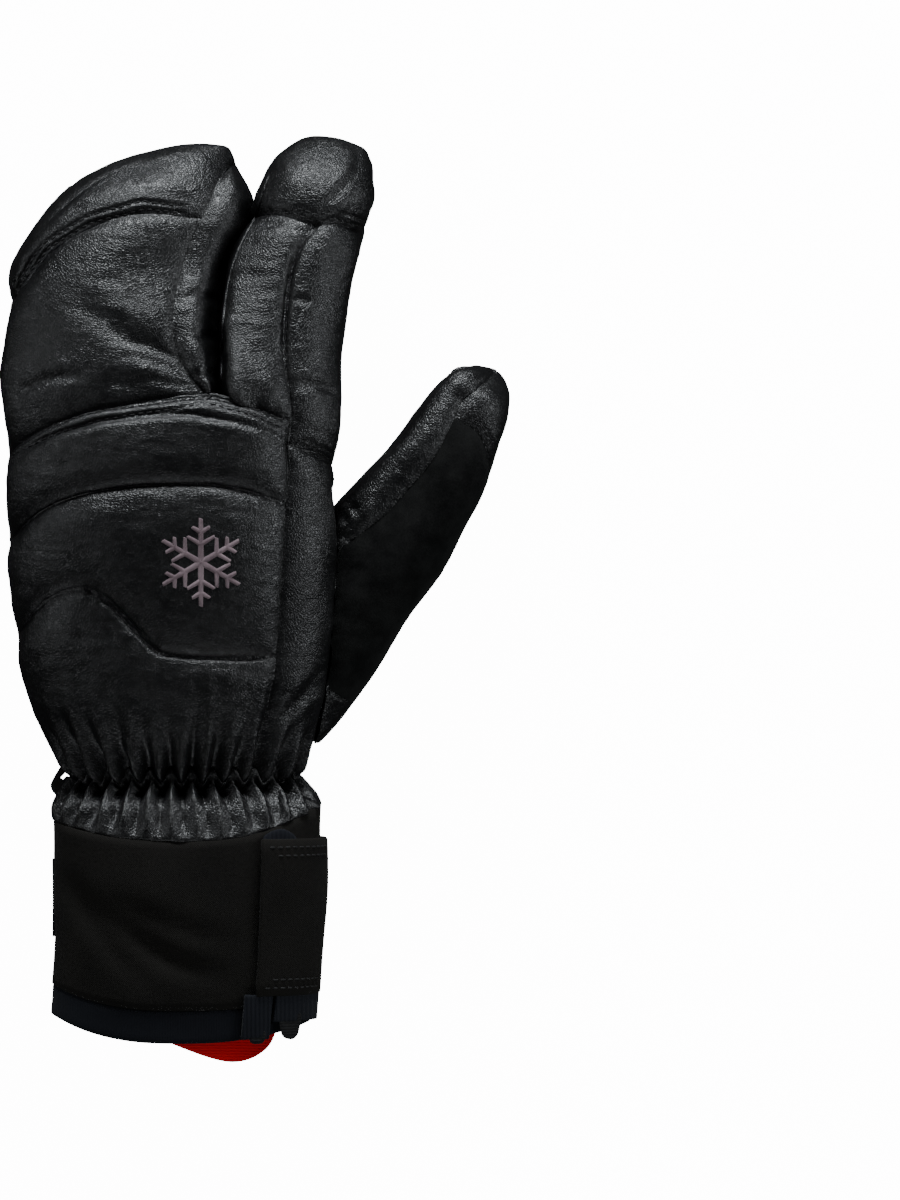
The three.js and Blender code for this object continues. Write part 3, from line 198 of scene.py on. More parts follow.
# Soft creases of the back: depth and width in mm, then the points of the line on the photo
CREASES = [
    (1.3, 4.0, [(66, 286), (92, 312), (122, 333), (158, 350), (186, 372)]),
    (0.9, 2.2, [(120, 356), (150, 362), (180, 376), (200, 392)]),
    (0.8, 1.8, [(112, 341), (146, 348), (176, 360), (198, 382)]),
    (0.8, 1.8, [(132, 376), (162, 382), (190, 390), (204, 396)]),
    (1.2, 2.0, [(20, 410), (26, 394), (42, 384), (66, 379), (94, 381)]),
    (0.8, 2.4, [(94, 381), (130, 386), (165, 390)]),
    (0.9, 1.6, [(181, 300), (196, 297), (216, 301)]),
    (0.9, 1.8, [(190, 341), (204, 338), (217, 343)]),
    (0.8, 1.6, [(198, 380), (208, 376), (218, 380)]),
    (1.1, 1.8, [(291, 389), (306, 386), (322, 389), (338, 396)]),
    (0.6, 1.4, [(289, 304), (300, 301), (318, 306)]),
    (0.7, 1.4, [(256, 232), (272, 226), (292, 229)]),
    (0.7, 1.6, [(296, 236), (306, 230), (322, 229)]),
    (1.4, 2.4, [(273, 738), (284, 716), (300, 700), (312, 684), (322, 664)]),
    (0.9, 1.8, [(292, 742), (302, 720), (316, 704)]),
    (0.9, 3.0, [(112, 700), (124, 722), (134, 746)]),
    (0.8, 3.0, [(150, 760), (158, 738), (170, 716)]),
    (0.7, 1.6, [(338, 512), (348, 522), (352, 536)]),
    (0.7, 1.6, [(344, 500), (356, 510), (362, 526)]),
    (0.7, 1.6, [(340, 532), (350, 540), (354, 546)]),
    (1.0, 1.3, [(326, 208), (314, 226), (300, 246), (292, 270), (289, 294), (286, 330), (287, 370),
                (291, 390)]),
    (1.1, 1.9, [(351, 138), (357, 158), (353, 176), (339, 194), (318, 216)]),
    (1.4, 1.6, [(283, 752), (279, 790), (276, 836)]),
    (1.5, 1.2, [(8, 474), (43, 445), (87, 429), (130, 421), (174, 417), (206, 419), (260, 432),
                (294, 447)]),
]

# Creases of the palm side, in the same form
PALM_CREASES = [
    (0.9, 3.0, [(60, 498), (110, 486), (170, 484), (226, 492)]),
    (0.8, 2.6, [(176, 560), (204, 612), (222, 676)]),
    (0.9, 2.6, [(206, 532), (236, 590), (252, 660)]),
    (0.8, 2.4, [(150, 600), (176, 650), (190, 706)]),
    (0.7, 2.6, [(84, 640), (100, 690), (108, 730)]),
    (0.8, 3.0, [(60, 330), (110, 322), (170, 330)]),
    (0.7, 2.6, [(44, 380), (100, 372), (150, 378)]),
]

# Soft folds of the cuff, in the same form
CUFF_FOLDS = [
    (2.6, 4.0, [(62, 872), (92, 900), (130, 930), (180, 958), (240, 975)]),
    (2.0, 3.2, [(56, 862), (74, 888), (94, 920), (122, 955), (160, 985)]),
    (1.6, 3.4, [(96, 890), (140, 908), (196, 930), (250, 942)]),
    (0.8, 3.0, [(268, 905), (290, 909), (318, 904)]),
    (0.7, 2.6, [(266, 930), (292, 936), (316, 931)]),
]

# Rows of stitches that follow a panel's edge: the panel, how far in from the edge each row lies in
# mm, and a line on the photo beside which they run, or None where they go all the way round
SEAM_ROWS = [
    ("mitt_tip_cap", (1.5, 3.7), [(15, 290), (40, 258), (75, 235), (110, 218), (150, 207), (180, 207),
                                  (208, 222)]),
    ("index_tip_cap", (1.4, 3.5), None),
    ("knuckle_rib", (0.9, 3.5), [(15, 455), (60, 432), (100, 415), (150, 405), (200, 398), (230, 400),
                                 (262, 408), (295, 420)]),
    ("index_side", (1.2, 3.0), [(293, 444), (312, 450), (331, 460)]),
    ("lower_back", (0.8,), [(104, 600), (118, 614), (134, 634), (150, 650), (180, 655), (230, 656),
                            (280, 657)]),
    ("thumb_tip_cap", (0.9, 2.6), [(455, 415), (472, 422), (486, 436), (492, 454)]),
    ("thumb_base", (1.0, 2.9), [(320, 680), (340, 694), (358, 706)]),
    ("palm_overlay", (1.3, 3.5), None),
    ("cuff_strap", (2.0, 4.6), [(262, 846), (290, 843), (326, 840)]),
    ("cuff_strap", (2.0, 4.6), [(256, 984), (286, 988), (318, 990)]),
    ("strap_patch", (1.2,), None),
]

# The patch on the heel of the palm, drawn by two rows of stitches, and the pieces that they cross
HEEL_ROWS = [(34, 520), (80, 508), (120, 500), (138, 503), (143, 516), (132, 553), (109, 582), (70, 596),
             (30, 602)]
HEEL_GAP = 2.4
HEEL_PIECES = ("palm_overlay", "palm_panel")

# The raised edge along the index finger, from its tip to the crotch
PIPING = [(270, 172), (262, 195), (254, 220), (243, 242), (234, 265), (228, 292), (225, 319), (224, 345),
          (223, 363), (223, 386)]
PIPING_STEP = 1.5 * MM
PIPING_RADIUS = 0.62
PIPING_SIDES = 10
PIPING_TAPER = 0.06

# The embroidered star: its middle on the photo, its arms, their length and the width of a band in
# mm, and its twigs, each with its place along the arm and its length as shares of the arm
STAR = (204, 563)
STAR_ARMS = 6
STAR_ARM = 13.5
STAR_BAND = 2.3
STAR_TWIGS = ((0.42, 0.36), (0.70, 0.24))
TWIG_BAND = 0.8 * STAR_BAND
SATIN_PITCH = 0.42
SATIN_THREAD = 0.27
SATIN_SLANT = 65
SATIN_TAPER = 0.35

# The small ends of cloth at the cuff, each with its corners on the photo and the two feet that it
# stands on: the elastic that shows over the strap, and the cut ends that show under the hem
STRAP_INSERT = [(264, 850), (265, 836), (272, 830), (283, 827), (294, 832), (299, 840), (299, 850)]
STRAP_INSERT_FEET = [(264, 850), (299, 850)]
STRAP_INSERT_LEVELS = 0.15 * MM, 1.3 * MM
LONG_END = [(250, 1026), (266, 1026), (266, 1037), (258, 1040), (252, 1037)]
LONG_END_FEET = [(252, 1026), (264, 1026)]
SHORT_END = [(279, 1010), (301, 1010), (300, 1028), (296, 1035), (290, 1036), (283, 1031)]
SHORT_END_FEET = [(281, 1010), (299, 1010)]
END_LEVELS = -1.5 * MM, -0.3 * MM
TONGUE_RINGS = (1.0, 0.93, 0.6, 0.25)
TONGUE_STEP = 0.6 * MM
TONGUE_ROUND = 0.3

# The rounded edges of the moulded hook
HOOK_EDGE = 0.5 * MM
HOOK_EDGE_STEPS = 3
HOOK_EDGE_ANGLE = math.radians(40)

# How far above or below everything a ray starts
RAY_FROM = 0.2

def plan(px, py):
    """The place on the glove, in plan, that a pixel of the photo shows."""
    x = VIEW_X + (px - PHOTO_WIDTH / 2) * PIXEL
    y = VIEW_Y - (py - PHOTO_HEIGHT / 2) * PIXEL
    return x, y

def smooth_line(points, step):
    """Points at even steps along a smooth curve through the given ones."""
    pts = np.asarray(points, float)
    padded = np.vstack([2 * pts[0] - pts[1], pts, 2 * pts[-1] - pts[-2]])
    fine = []
    for i in range(1, len(padded) - 2):
        a, b, c, d = padded[i - 1:i + 3]
        for t in np.linspace(0, 1, 12, endpoint=False):
            fine.append(0.5 * (2 * b + (c - a) * t + (2 * a - 5 * b + 4 * c - d) * t ** 2
                               + (3 * b - a - 3 * c + d) * t ** 3))
    fine.append(pts[-1])
    return even_steps(np.array(fine), step)

def even_steps(line, step):
    """The line again with points at even steps."""
    gaps = np.linalg.norm(np.diff(line[:, :3], axis=0), axis=1)
    along = np.concatenate([[0], np.cumsum(gaps)])
    count = max(2, int(round(along[-1] / step)) + 1)
    marks = np.linspace(0, along[-1], count)
    return np.column_stack([np.interp(marks, along, line[:, k]) for k in range(line.shape[1])])

def line_distance(xy, line):
    """Distance of each point from the line, and how far along it the nearest place lies, from 0 to 1."""
    best = np.full(len(xy), 1e9)
    place = np.zeros(len(xy))
    for k, (a, b) in enumerate(zip(line[:-1], line[1:])):
        run = b - a
        t = np.clip(((xy - a) @ run) / (run @ run), 0, 1)
        d = np.linalg.norm(xy - a - t[:, None] * run, axis=1)
        near = d < best
        best[near] = d[near]
        place[near] = (k + t[near]) / (len(line) - 1)
    return best, place

def ripples(co, wavelength, seed, stretch=(1, 1, 1), count=16):
    """A gentle uneven wave over the points, about -1 to 1."""
    rng = np.random.default_rng(seed)
    total = np.zeros(len(co))
    scaled = co * np.asarray(stretch)
    for _ in range(count):
        way = rng.normal(size=3)
        way /= np.linalg.norm(way)
        number = 2 * math.pi / (wavelength * rng.uniform(0.7, 1.5))
        total += np.sin(scaled @ way * number + rng.uniform(0, 2 * math.pi))
    return total / math.sqrt(count)

def waves(co, rows):
    """The sum of the uneven waves that a table lists."""
    return sum(height * MM * ripples(co, length * MM, seed, stretch)
               for height, length, seed, stretch in rows)

def photo_line(points, step=LINE_STEP):
    """A smooth line in plan through points of the photo."""
    return smooth_line([plan(*p) for p in points], step)

def crease_depth(co, creases):
    """How deep the creases press in at each point, with a soft swell on both sides."""
    total = np.zeros(len(co))
    for depth, width, points in creases:
        near, place = line_distance(co[:, :2], photo_line(points))
        fade = np.clip(np.minimum(place, 1 - place) / CREASE_FADE, 0, 1)
        q = near / (width * MM)
        total -= depth * MM * fade * (np.exp(-q ** 2) - CREASE_SWELL * np.exp(-(q / CREASE_SPREAD) ** 2))
    return total

# The CAD meshes, with shared corners merged

def merged(node, sewn=False):
    """The node's CAD mesh as a bmesh of quads where two triangles make a flat enough one."""
    bm = bmesh.new()
    bm.from_mesh(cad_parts[node].data)
    bmesh.ops.remove_doubles(bm, verts=bm.verts, dist=WELD)
    bmesh.ops.join_triangles(bm, faces=bm.faces, angle_face_threshold=FLAT_QUAD,
                             angle_shape_threshold=EVEN_QUAD)
    bm.normal_update()
    if sewn:
        push_edges(bm)
    return bm

def push_edges(bm):
    """Moves a panel's edges towards its neighbours, so that the sewn pieces meet."""
    groups = skins(bm)
    largest = sum(f.calc_area() for f in groups[0])
    moves = {}
    for order, group in enumerate(groups):
        if sum(f.calc_area() for f in group) < 0.25 * largest:
            break
        reach = EDGE_REACH if order % 2 == 0 else LINING_REACH
        inside = {f.index for f in group}
        for face in group:
            for loop in face.loops:
                if all(f.index in inside for f in loop.edge.link_faces):
                    continue
                run = loop.link_loop_next.vert.co - loop.vert.co
                away = run.cross(face.normal).normalized()
                for vert in (loop.vert, loop.link_loop_next.vert):
                    moves.setdefault(vert, []).append((away, reach))
    for vert, ways in moves.items():
        first, reach = ways[0]
        second = ways[-1][0]
        vert.co += (first + second) * (reach / max(0.5, 1 + first.dot(second)))
    bm.normal_update()

def skins(bm):
    """The faces in groups that no sharp edge parts, the largest first."""
    bm.faces.ensure_lookup_table()
    seen = set()
    groups = []
    for face in bm.faces:
        if face.index in seen:
            continue
        group = []
        stack = [face]
        seen.add(face.index)
        while stack:
            f = stack.pop()
            group.append(f)
            for e in f.edges:
                if len(e.link_faces) != 2 or e.calc_face_angle(0) > SHARP:
                    continue
                for other in e.link_faces:
                    if other.index not in seen:
                        seen.add(other.index)
                        stack.append(other)
        groups.append(group)
    return sorted(groups, key=lambda g: -sum(f.calc_area() for f in g))

def outer_border(bm):
    """The edge of the outer skin, as rows of points with the way inward at each."""
    outer = {f.index for f in skins(bm)[0]}
    ahead = {}
    inward = {}
    for e in bm.edges:
        inside = [f for f in e.link_faces if f.index in outer]
        if len(inside) != 1:
            continue
        face = inside[0]
        a, b = e.verts
        for loop in face.loops:
            if loop.edge == e:
                a, b = loop.vert, loop.link_loop_next.vert
        ahead[a.index] = b.index
        way = face.normal.cross(b.co - a.co).normalized()
        inward[a.index] = way
    bm.verts.ensure_lookup_table()
    loops = []
    left = set(ahead)
    while left:
        start = left.pop()
        loop = [start]
        now = ahead[start]
        while now != start and now in left:
            left.discard(now)
            loop.append(now)
            now = ahead[now]
        points = np.array([bm.verts[i].co[:] for i in loop])
        ways = np.array([inward[i][:] for i in loop])
        loops.append((points, (ways + np.roll(ways, 1, axis=0)) / 2))
    return loops

# Rounding and shaping

def subdivided(node, levels, roundness, sewn=False):
    """A new object with the node's form, rounded through the node's own corners."""
    bm = merged(node, sewn)
    crease = bm.edges.layers.float.new("crease_edge")
    for e in bm.edges:
        if len(e.link_faces) == 2 and e.calc_face_angle(0) > SHARP:
            e[crease] = roundness
    mesh = bpy.data.meshes.new(node + "_form")
    bm.to_mesh(mesh)
    bm.free()
    obj = bpy.data.objects.new(node + "_form", mesh)
    bpy.context.collection.objects.link(obj)
    rounder = obj.modifiers.new("round", "SUBSURF")
    rounder.levels = levels
    rounder.render_levels = levels
    rounder.boundary_smooth = "ALL"
    hold_corners(obj)
    return apply_modifiers(obj)

def hold_corners(obj):
    """Moves the corners out until the rounded surface passes through where they were."""
    mesh = obj.data
    count = len(mesh.vertices)
    wanted = np.empty(count * 3)
    mesh.vertices.foreach_get("co", wanted)
    corners = wanted.copy()
    for _ in range(HOLD_STEPS):
        graph = bpy.context.evaluated_depsgraph_get()
        rounded = obj.evaluated_get(graph).to_mesh()
        placed = np.empty(len(rounded.vertices) * 3)
        rounded.vertices.foreach_get("co", placed)
        obj.evaluated_get(graph).to_mesh_clear()
        corners += HOLD_SHARE * (wanted - placed[:count * 3])
        mesh.vertices.foreach_set("co", corners)
        mesh.update()
        obj.update_tag()

def apply_modifiers(obj):
    """The object again, with its modifiers worked into its mesh."""
    graph = bpy.context.evaluated_depsgraph_get()
    mesh = bpy.data.meshes.new_from_object(obj.evaluated_get(graph))
    old = obj.data
    obj.modifiers.clear()
    obj.data = mesh
    bpy.data.meshes.remove(old)
    return obj

def points_of(obj):
    """The places and the normals of the object's points."""
    co = np.empty(len(obj.data.vertices) * 3)
    obj.data.vertices.foreach_get("co", co)
    no = np.empty(len(obj.data.vertices) * 3)
    obj.data.vertices.foreach_get("normal", no)
    return co.reshape(-1, 3), no.reshape(-1, 3)

def move_points(obj, co):
    """Moves the object's points and shades it smooth."""
    obj.data.vertices.foreach_set("co", co.astype(float).ravel())
    obj.data.update()
    for p in obj.data.polygons:
        p.use_smooth = True

def surface_of(obj):
    """The object's surface, to be asked for places on it."""
    mesh = obj.data
    return BVHTree.FromPolygons([v.co[:] for v in mesh.vertices], [p.vertices[:] for p in mesh.polygons])

# Materials

def material(name, base, roughness, sheen=0.0, gloss=0.5):
    """A new material with its node tree and its shader."""
    mat = bpy.data.materials.new(name)
    mat.use_nodes = True
    tree = mat.node_tree
    shader = tree.nodes["Principled BSDF"]
    shader.inputs["Base Color"].default_value = (*base, 1)
    shader.inputs["Roughness"].default_value = roughness
    shader.inputs["Specular IOR Level"].default_value = gloss
    shader.inputs["Sheen Weight"].default_value = sheen
    shader.inputs["Sheen Roughness"].default_value = 0.5
    return mat, tree, shader

def add(tree, kind, **values):
    """A new node of the tree with the given settings and inputs."""
    node = tree.nodes.new(kind)
    for key, value in values.items():
        if key in node.inputs:
            node.inputs[key].default_value = value
        else:
            setattr(node, key, value)
    return node

def place(tree, scale=(1, 1, 1), turn=(0, 0, 0)):
    """The place on the object, turned and scaled, for a texture to follow."""
    where = add(tree, "ShaderNodeTexCoord")
    mapping = add(tree, "ShaderNodeMapping")
    mapping.inputs["Scale"].default_value = scale
    mapping.inputs["Rotation"].default_value = turn
    tree.links.new(where.outputs["Object"], mapping.inputs["Vector"])
    return mapping.outputs["Vector"]

def noise(tree, vector, scale, detail=2.0, rough=0.5):
    """Soft noise with so many waves in a metre."""
    node = add(tree, "ShaderNodeTexNoise")
    node.inputs["Scale"].default_value = scale
    node.inputs["Detail"].default_value = detail
    node.inputs["Roughness"].default_value = rough
    tree.links.new(vector, node.inputs["Vector"])
    return node.outputs["Fac"]

def spread(tree, value, low, high, out_low, out_high):
    """The value stretched from one range on to another."""
    node = add(tree, "ShaderNodeMapRange")
    for key, number in zip(("From Min", "From Max", "To Min", "To Max"), (low, high, out_low, out_high)):
        node.inputs[key].default_value = number
    tree.links.new(value, node.inputs["Value"])
    return node.outputs["Result"]

def bump(tree, height, distance, strength, before=None):
    """Fine relief over any relief that comes before it."""
    node = add(tree, "ShaderNodeBump")
    node.inputs["Distance"].default_value = distance
    node.inputs["Strength"].default_value = strength
    tree.links.new(height, node.inputs["Height"])
    if before is not None:
        tree.links.new(before, node.inputs["Normal"])
    return node.outputs["Normal"]

def tint(tree, shader, value, dark, light):
    """Colours the shader between a dark and a light tone by the value."""
    ramp = add(tree, "ShaderNodeMix", data_type="RGBA")
    ramp.inputs[6].default_value = (*dark, 1)
    ramp.inputs[7].default_value = (*light, 1)
    tree.links.new(value, ramp.inputs[0])
    tree.links.new(ramp.outputs[2], shader.inputs["Base Color"])

def leather(name, dark, light, rough_low, rough_high):
    """Full grain leather: pebbled cells, stretched wrinkles, soft waves and uneven shine."""
    mat, tree, shader = material(name, dark, rough_low)
    where = place(tree)
    warp = add(tree, "ShaderNodeTexNoise", Scale=GRAIN_WARP)
    tree.links.new(where, warp.inputs["Vector"])
    shifted = add(tree, "ShaderNodeVectorMath", operation="MULTIPLY_ADD")
    shifted.inputs[1].default_value = (GRAIN_SHIFT, GRAIN_SHIFT, GRAIN_SHIFT)
    tree.links.new(warp.outputs["Color"], shifted.inputs[0])
    tree.links.new(where, shifted.inputs[2])
    cells = add(tree, "ShaderNodeTexVoronoi", feature="DISTANCE_TO_EDGE", Scale=GRAIN)
    tree.links.new(shifted.outputs["Vector"], cells.inputs["Vector"])
    pebble = spread(tree, cells.outputs["Distance"], 0, GRAIN_EDGE, 0, 1)
    wrinkle = noise(tree, place(tree, (1, 2.8, 1.6), (0, 0, 0.25)), WRINKLES, 3, 0.55)
    soft = noise(tree, where, SOFT_WAVES, 3)
    normal = bump(tree, pebble, GRAIN_DEPTH, 0.6)
    normal = bump(tree, wrinkle, WRINKLE_DEPTH, 0.3, normal)
    normal = bump(tree, soft, SOFT_DEPTH, 0.25, normal)
    tree.links.new(normal, shader.inputs["Normal"])
    tint(tree, shader, spread(tree, soft, PATCH_LOW, PATCH_HIGH, 0, 1), dark, light)
    tree.links.new(spread(tree, noise(tree, where, SHINE_PATCHES, 4), 0.3, 0.7, rough_low, rough_high),
                   shader.inputs["Roughness"])
    return mat

def pile(name, dark, light, scale, height, sheen):
    """Cloth with a nap: suede, loop pile or brushed knit."""
    mat, tree, shader = material(name, dark, 0.95, sheen, PILE_GLOSS)
    where = place(tree)
    fuzz = noise(tree, where, scale, 4, 0.75)
    patches = noise(tree, where, PILE_PATCHES, 4, 0.6)
    normal = bump(tree, fuzz, height, 0.7)
    normal = bump(tree, patches, 0.001, 0.2, normal)
    tree.links.new(normal, shader.inputs["Normal"])
    tint(tree, shader, spread(tree, patches, PATCH_LOW, PATCH_HIGH, 0, 1), dark, light)
    return mat

def woven(name, dark, light, pitch, turns, height, roughness, sheen):
    """Cloth of threads in one or two directions, at an even pitch."""
    mat, tree, shader = material(name, dark, roughness, sheen, WOVEN_GLOSS)
    normal = None
    for turn in turns:
        wave = add(tree, "ShaderNodeTexWave", wave_type="BANDS", bands_direction="X", Distortion=0.6,
                   Detail=1, Scale=math.pi / (10 * pitch))
        tree.links.new(place(tree, (1, 1, 1), turn), wave.inputs["Vector"])
        normal = bump(tree, wave.outputs["Fac"], height, 0.6, normal)
    patches = noise(tree, place(tree), WOVEN_PATCHES, 3)
    normal = bump(tree, patches, 0.0012, 0.18, normal)
    tree.links.new(normal, shader.inputs["Normal"])
    tint(tree, shader, spread(tree, patches, PATCH_LOW, PATCH_HIGH, 0, 1), dark, light)
    return mat

BLACK = leather("black_leather", (0.003, 0.0031, 0.0034), (0.005, 0.0051, 0.0055),
                rough_low=0.30, rough_high=0.43)
SUEDE = pile("suede", (0.0022, 0.0024, 0.0023), (0.0085, 0.0088, 0.0085),
             scale=1500, height=0.0003, sheen=0.02)
SOFTSHELL = woven("softshell", (0.0052, 0.0046, 0.0037), (0.0076, 0.0067, 0.0055), pitch=0.5 * MM,
                  turns=CROSSED, height=0.00008, roughness=0.82, sheen=0.02)
KNIT = woven("navy_knit", (0.0058, 0.0066, 0.0098), (0.0078, 0.0090, 0.0130), pitch=0.8 * MM,
             turns=ALONG, height=0.0001, roughness=0.85, sheen=0.02)
RIBBED = woven("ribbed_elastic", (0.0060, 0.0070, 0.0102), (0.0090, 0.0104, 0.0150), pitch=1.3 * MM,
               turns=ALONG, height=0.00035, roughness=0.8, sheen=0.03)
PILE = pile("loop_pile", (0.003, 0.003, 0.0032), (0.006, 0.006, 0.0064),
            scale=900, height=0.0009, sheen=0.06)
RED = woven("red_webbing", (0.85, 0.008, 0.012), (0.95, 0.012, 0.016), pitch=0.9 * MM,
            turns=ACROSS, height=0.00012, roughness=0.6, sheen=0.1)
TAPE = woven("black_tape", (0.004, 0.004, 0.0045), (0.007, 0.007, 0.0076), pitch=0.9 * MM,
             turns=ACROSS, height=0.00015, roughness=0.75, sheen=0.1)
LABEL = woven("bare_label", (0.009, 0.009, 0.010), (0.012, 0.012, 0.013), pitch=0.4 * MM,
              turns=ALONG, height=0.00005, roughness=0.6, sheen=0.05)
THREADS, _, _ = material("black_thread", (0.002, 0.002, 0.0022), 0.7)
MAUVE = pile("mauve_thread", (0.16, 0.115, 0.13), (0.27, 0.205, 0.225),
             scale=1800, height=0.0002, sheen=0.3)

def moulded(name, base, roughness):
    """Moulded plastic with fine relief and uneven shine."""
    mat, tree, shader = material(name, base, roughness)
    fine = noise(tree, place(tree), 1400, 2)
    tree.links.new(bump(tree, fine, 0.00006, 0.3), shader.inputs["Normal"])
    tree.links.new(spread(tree, noise(tree, place(tree), 300, 3), 0.3, 0.7, roughness, roughness + 0.15),
                   shader.inputs["Roughness"])
    return mat

PLASTIC = moulded("moulded_plastic", (0.011, 0.011, 0.0115), 0.36)

# Making the panels

def radial(co):
    """The way out from the middle of the wrist, square to the glove's length, and its angle."""
    across, rise = co[:, 0] - WRIST_X, co[:, 2] - WRIST_Z
    angle = np.arctan2(rise, across)
    return np.column_stack([np.cos(angle), np.zeros(len(co)), np.sin(angle)]), angle

def wrist_share(angle):
    """How far round the wrist's section, at even lengths, each angle about its middle lies."""
    turn = np.linspace(0, 2 * math.pi, 721)
    power = 2 / WRIST_SQUARE
    x = WRIST_HALF * np.sign(np.cos(turn)) * np.abs(np.cos(turn)) ** power
    z = WRIST_RISE * np.sign(np.sin(turn)) * np.abs(np.sin(turn)) ** power
    lengths = np.concatenate([[0], np.cumsum(np.hypot(np.diff(x), np.diff(z)))])
    angles = np.unwrap(np.arctan2(z, x))
    return np.interp(angle % (2 * math.pi), angles, lengths / lengths[-1])

def pleated(co):
    """The points after the wrist elastic has drawn the leather into pointed pleats."""
    out, angle = radial(co)
    y = co[:, 1] - ELASTIC_Y
    wave = np.cos(2 * math.pi * PLEATS * wrist_share(angle))
    size = 1 + PLEAT_SIZE_VARIES * ripples(co, *PLEAT_SIZE_WAVE)
    length = 1 + PLEAT_LENGTH_VARIES * ripples(co, *PLEAT_LENGTH_WAVE)
    down = np.clip(-y, 0, None)
    below = wave * (PLEAT_RISE_BELOW * np.exp(-(down / PLEAT_REACH_BELOW) ** 2)
                    - FOOT_DIP * np.exp(-((down - FOOT_BELOW) / FOOT_WIDTH) ** 2))
    up = np.clip(y, 0, None) / (PLEAT_REACH_ABOVE * length)
    above = -PLEAT_RISE_ABOVE * (wave + 0.3) * np.exp(-up ** 1.5)
    seam = 1 - np.exp(-(y / SEAM_WIDTH) ** 2)
    cinch = CINCH_DEPTH * np.exp(-(y / CINCH_WIDTH) ** 2)
    rise = size * seam * np.where(y > 0, above, below) - cinch
    moved = co + out * rise[:, None]
    drop = SEAM_DROP * np.clip(1.6 * out[:, 2], 0, 1)
    moved[:, 1] += (PLEAT_POINT * size * wave - drop) * np.exp(-(y / POINT_REACH) ** 2)
    return moved

def pressed(name, co):
    """The points after the finger compartments are pressed against each other."""
    reach = -MEET_INDEX if name.startswith("index") else MEET_MITT
    away, place = line_distance(co[:, :2], photo_line(MEETING))
    fade = np.clip(np.minimum(place / MEET_FADE_TIP, (1 - place) / MEET_FADE_CROTCH), 0, 1)
    moved = co.copy()
    moved[:, 0] += reach * MM * fade * np.exp(-(away / MEET_REACH) ** 2)
    return moved

def nearest(tree, co):
    """Distance from each point to the nearest one in the tree, and which one it is."""
    found = [tree.find(point) for point in co]
    return np.array([f[2] for f in found]), np.array([f[1] for f in found])

def tree_of(points):
    """The points in a tree, to be asked for the nearest one."""
    tree = KDTree(len(points))
    for i, point in enumerate(points):
        tree.insert(point, i)
    tree.balance()
    return tree

def panel_field(name, co, no, seam_tree, seam_runs, swell):
    """How far each point of a leather panel moves along its normal."""
    back = name not in PALM_SIDE
    facing = no[:, 2] if back else -no[:, 2]
    face = np.clip((facing + FACE_ROUND) / FACE_FADE, 0, 1)
    field = waves(co, LEATHER_WAVES)
    field += face * crease_depth(co, CREASES if back else PALM_CREASES)
    away, index = nearest(seam_tree, co)
    sink = SINK_FAR * np.exp(-away / SINK_FAR_REACH) + SINK_NEAR * np.exp(-away / SINK_NEAR_REACH)
    field += face * swell * MM * (1 - sink)
    pucker = np.exp(-away / PUCKER_REACH) * np.cos(2 * math.pi * seam_runs[index] / PUCKER_PITCH)
    return field + PUCKER_RISE * pucker * (0.6 + 0.4 * ripples(co, 14 * MM, 4))

def seam_samples(borders):
    """Places along every seam at small steps, with the length run so far."""
    places = []
    runs = []
    run = 0.0
    for loops in borders.values():
        for points, _ in loops:
            fine = even_steps(np.vstack([points, points[:1]]), SEAM_STEP)
            steps = np.linalg.norm(np.diff(fine, axis=0), axis=1)
            places.append(fine)
            runs.append(run + np.concatenate([[0], np.cumsum(steps)]))
            run += steps.sum()
    return tree_of(np.vstack(places)), np.concatenate(runs)

def beside_edge(node, offset, guide):
    """Rows of points in from a panel's edge, all the way round or only beside the guide line."""
    rows = []
    for points, ways in borders[node]:
        ring = np.hstack([points, ways])
        edge = even_steps(np.vstack([ring, ring[:1]]), ROW_STEP)
        inward = edge[:, 3:] / np.maximum(1e-9, np.linalg.norm(edge[:, 3:], axis=1))[:, None]
        row = edge[:, :3] + inward * offset
        away, _ = nearest(tree_of(edge[:, :3]), row)
        keep = away > 0.9 * offset
        if guide is not None:
            near, place = line_distance(edge[:, :2], photo_line(guide))
            keep &= (near < GUIDE_REACH) & (place > 0) & (place < 1) & (edge[:, 2] > GUIDE_LOW)
        if keep.all():
            rows.append(np.vstack([row, row[:1]]))
            continue
        start = int(np.argmin(keep))
        row, keep = np.roll(row, -start, axis=0), np.roll(keep, -start)
        breaks = np.flatnonzero(np.diff(keep.astype(int))) + 1
        for run, kept in zip(np.split(row, breaks), np.split(keep, breaks)):
            if kept[0] and len(run) * ROW_STEP > 3 * STITCH_PITCH:
                rows.append(run)
    return rows

def settled(points, surface):
    """The points on the finished surface, with the normals there."""
    found = [surface.find_nearest(Vector(p)) for p in points]
    return np.array([f[0][:] for f in found]), np.array([f[1][:] for f in found])

def dropped(xy, surface, up=1):
    """The places on a surface right under plan points, or right over them if up is -1."""
    places, normals = [], []
    for x, y in xy:
        place, normal, _, _ = surface.ray_cast(Vector((x, y, up * RAY_FROM)), Vector((0, 0, -up)))
        if place is not None:
            places.append(place[:])
            normals.append(normal[:])
    return np.array(places), np.array(normals)

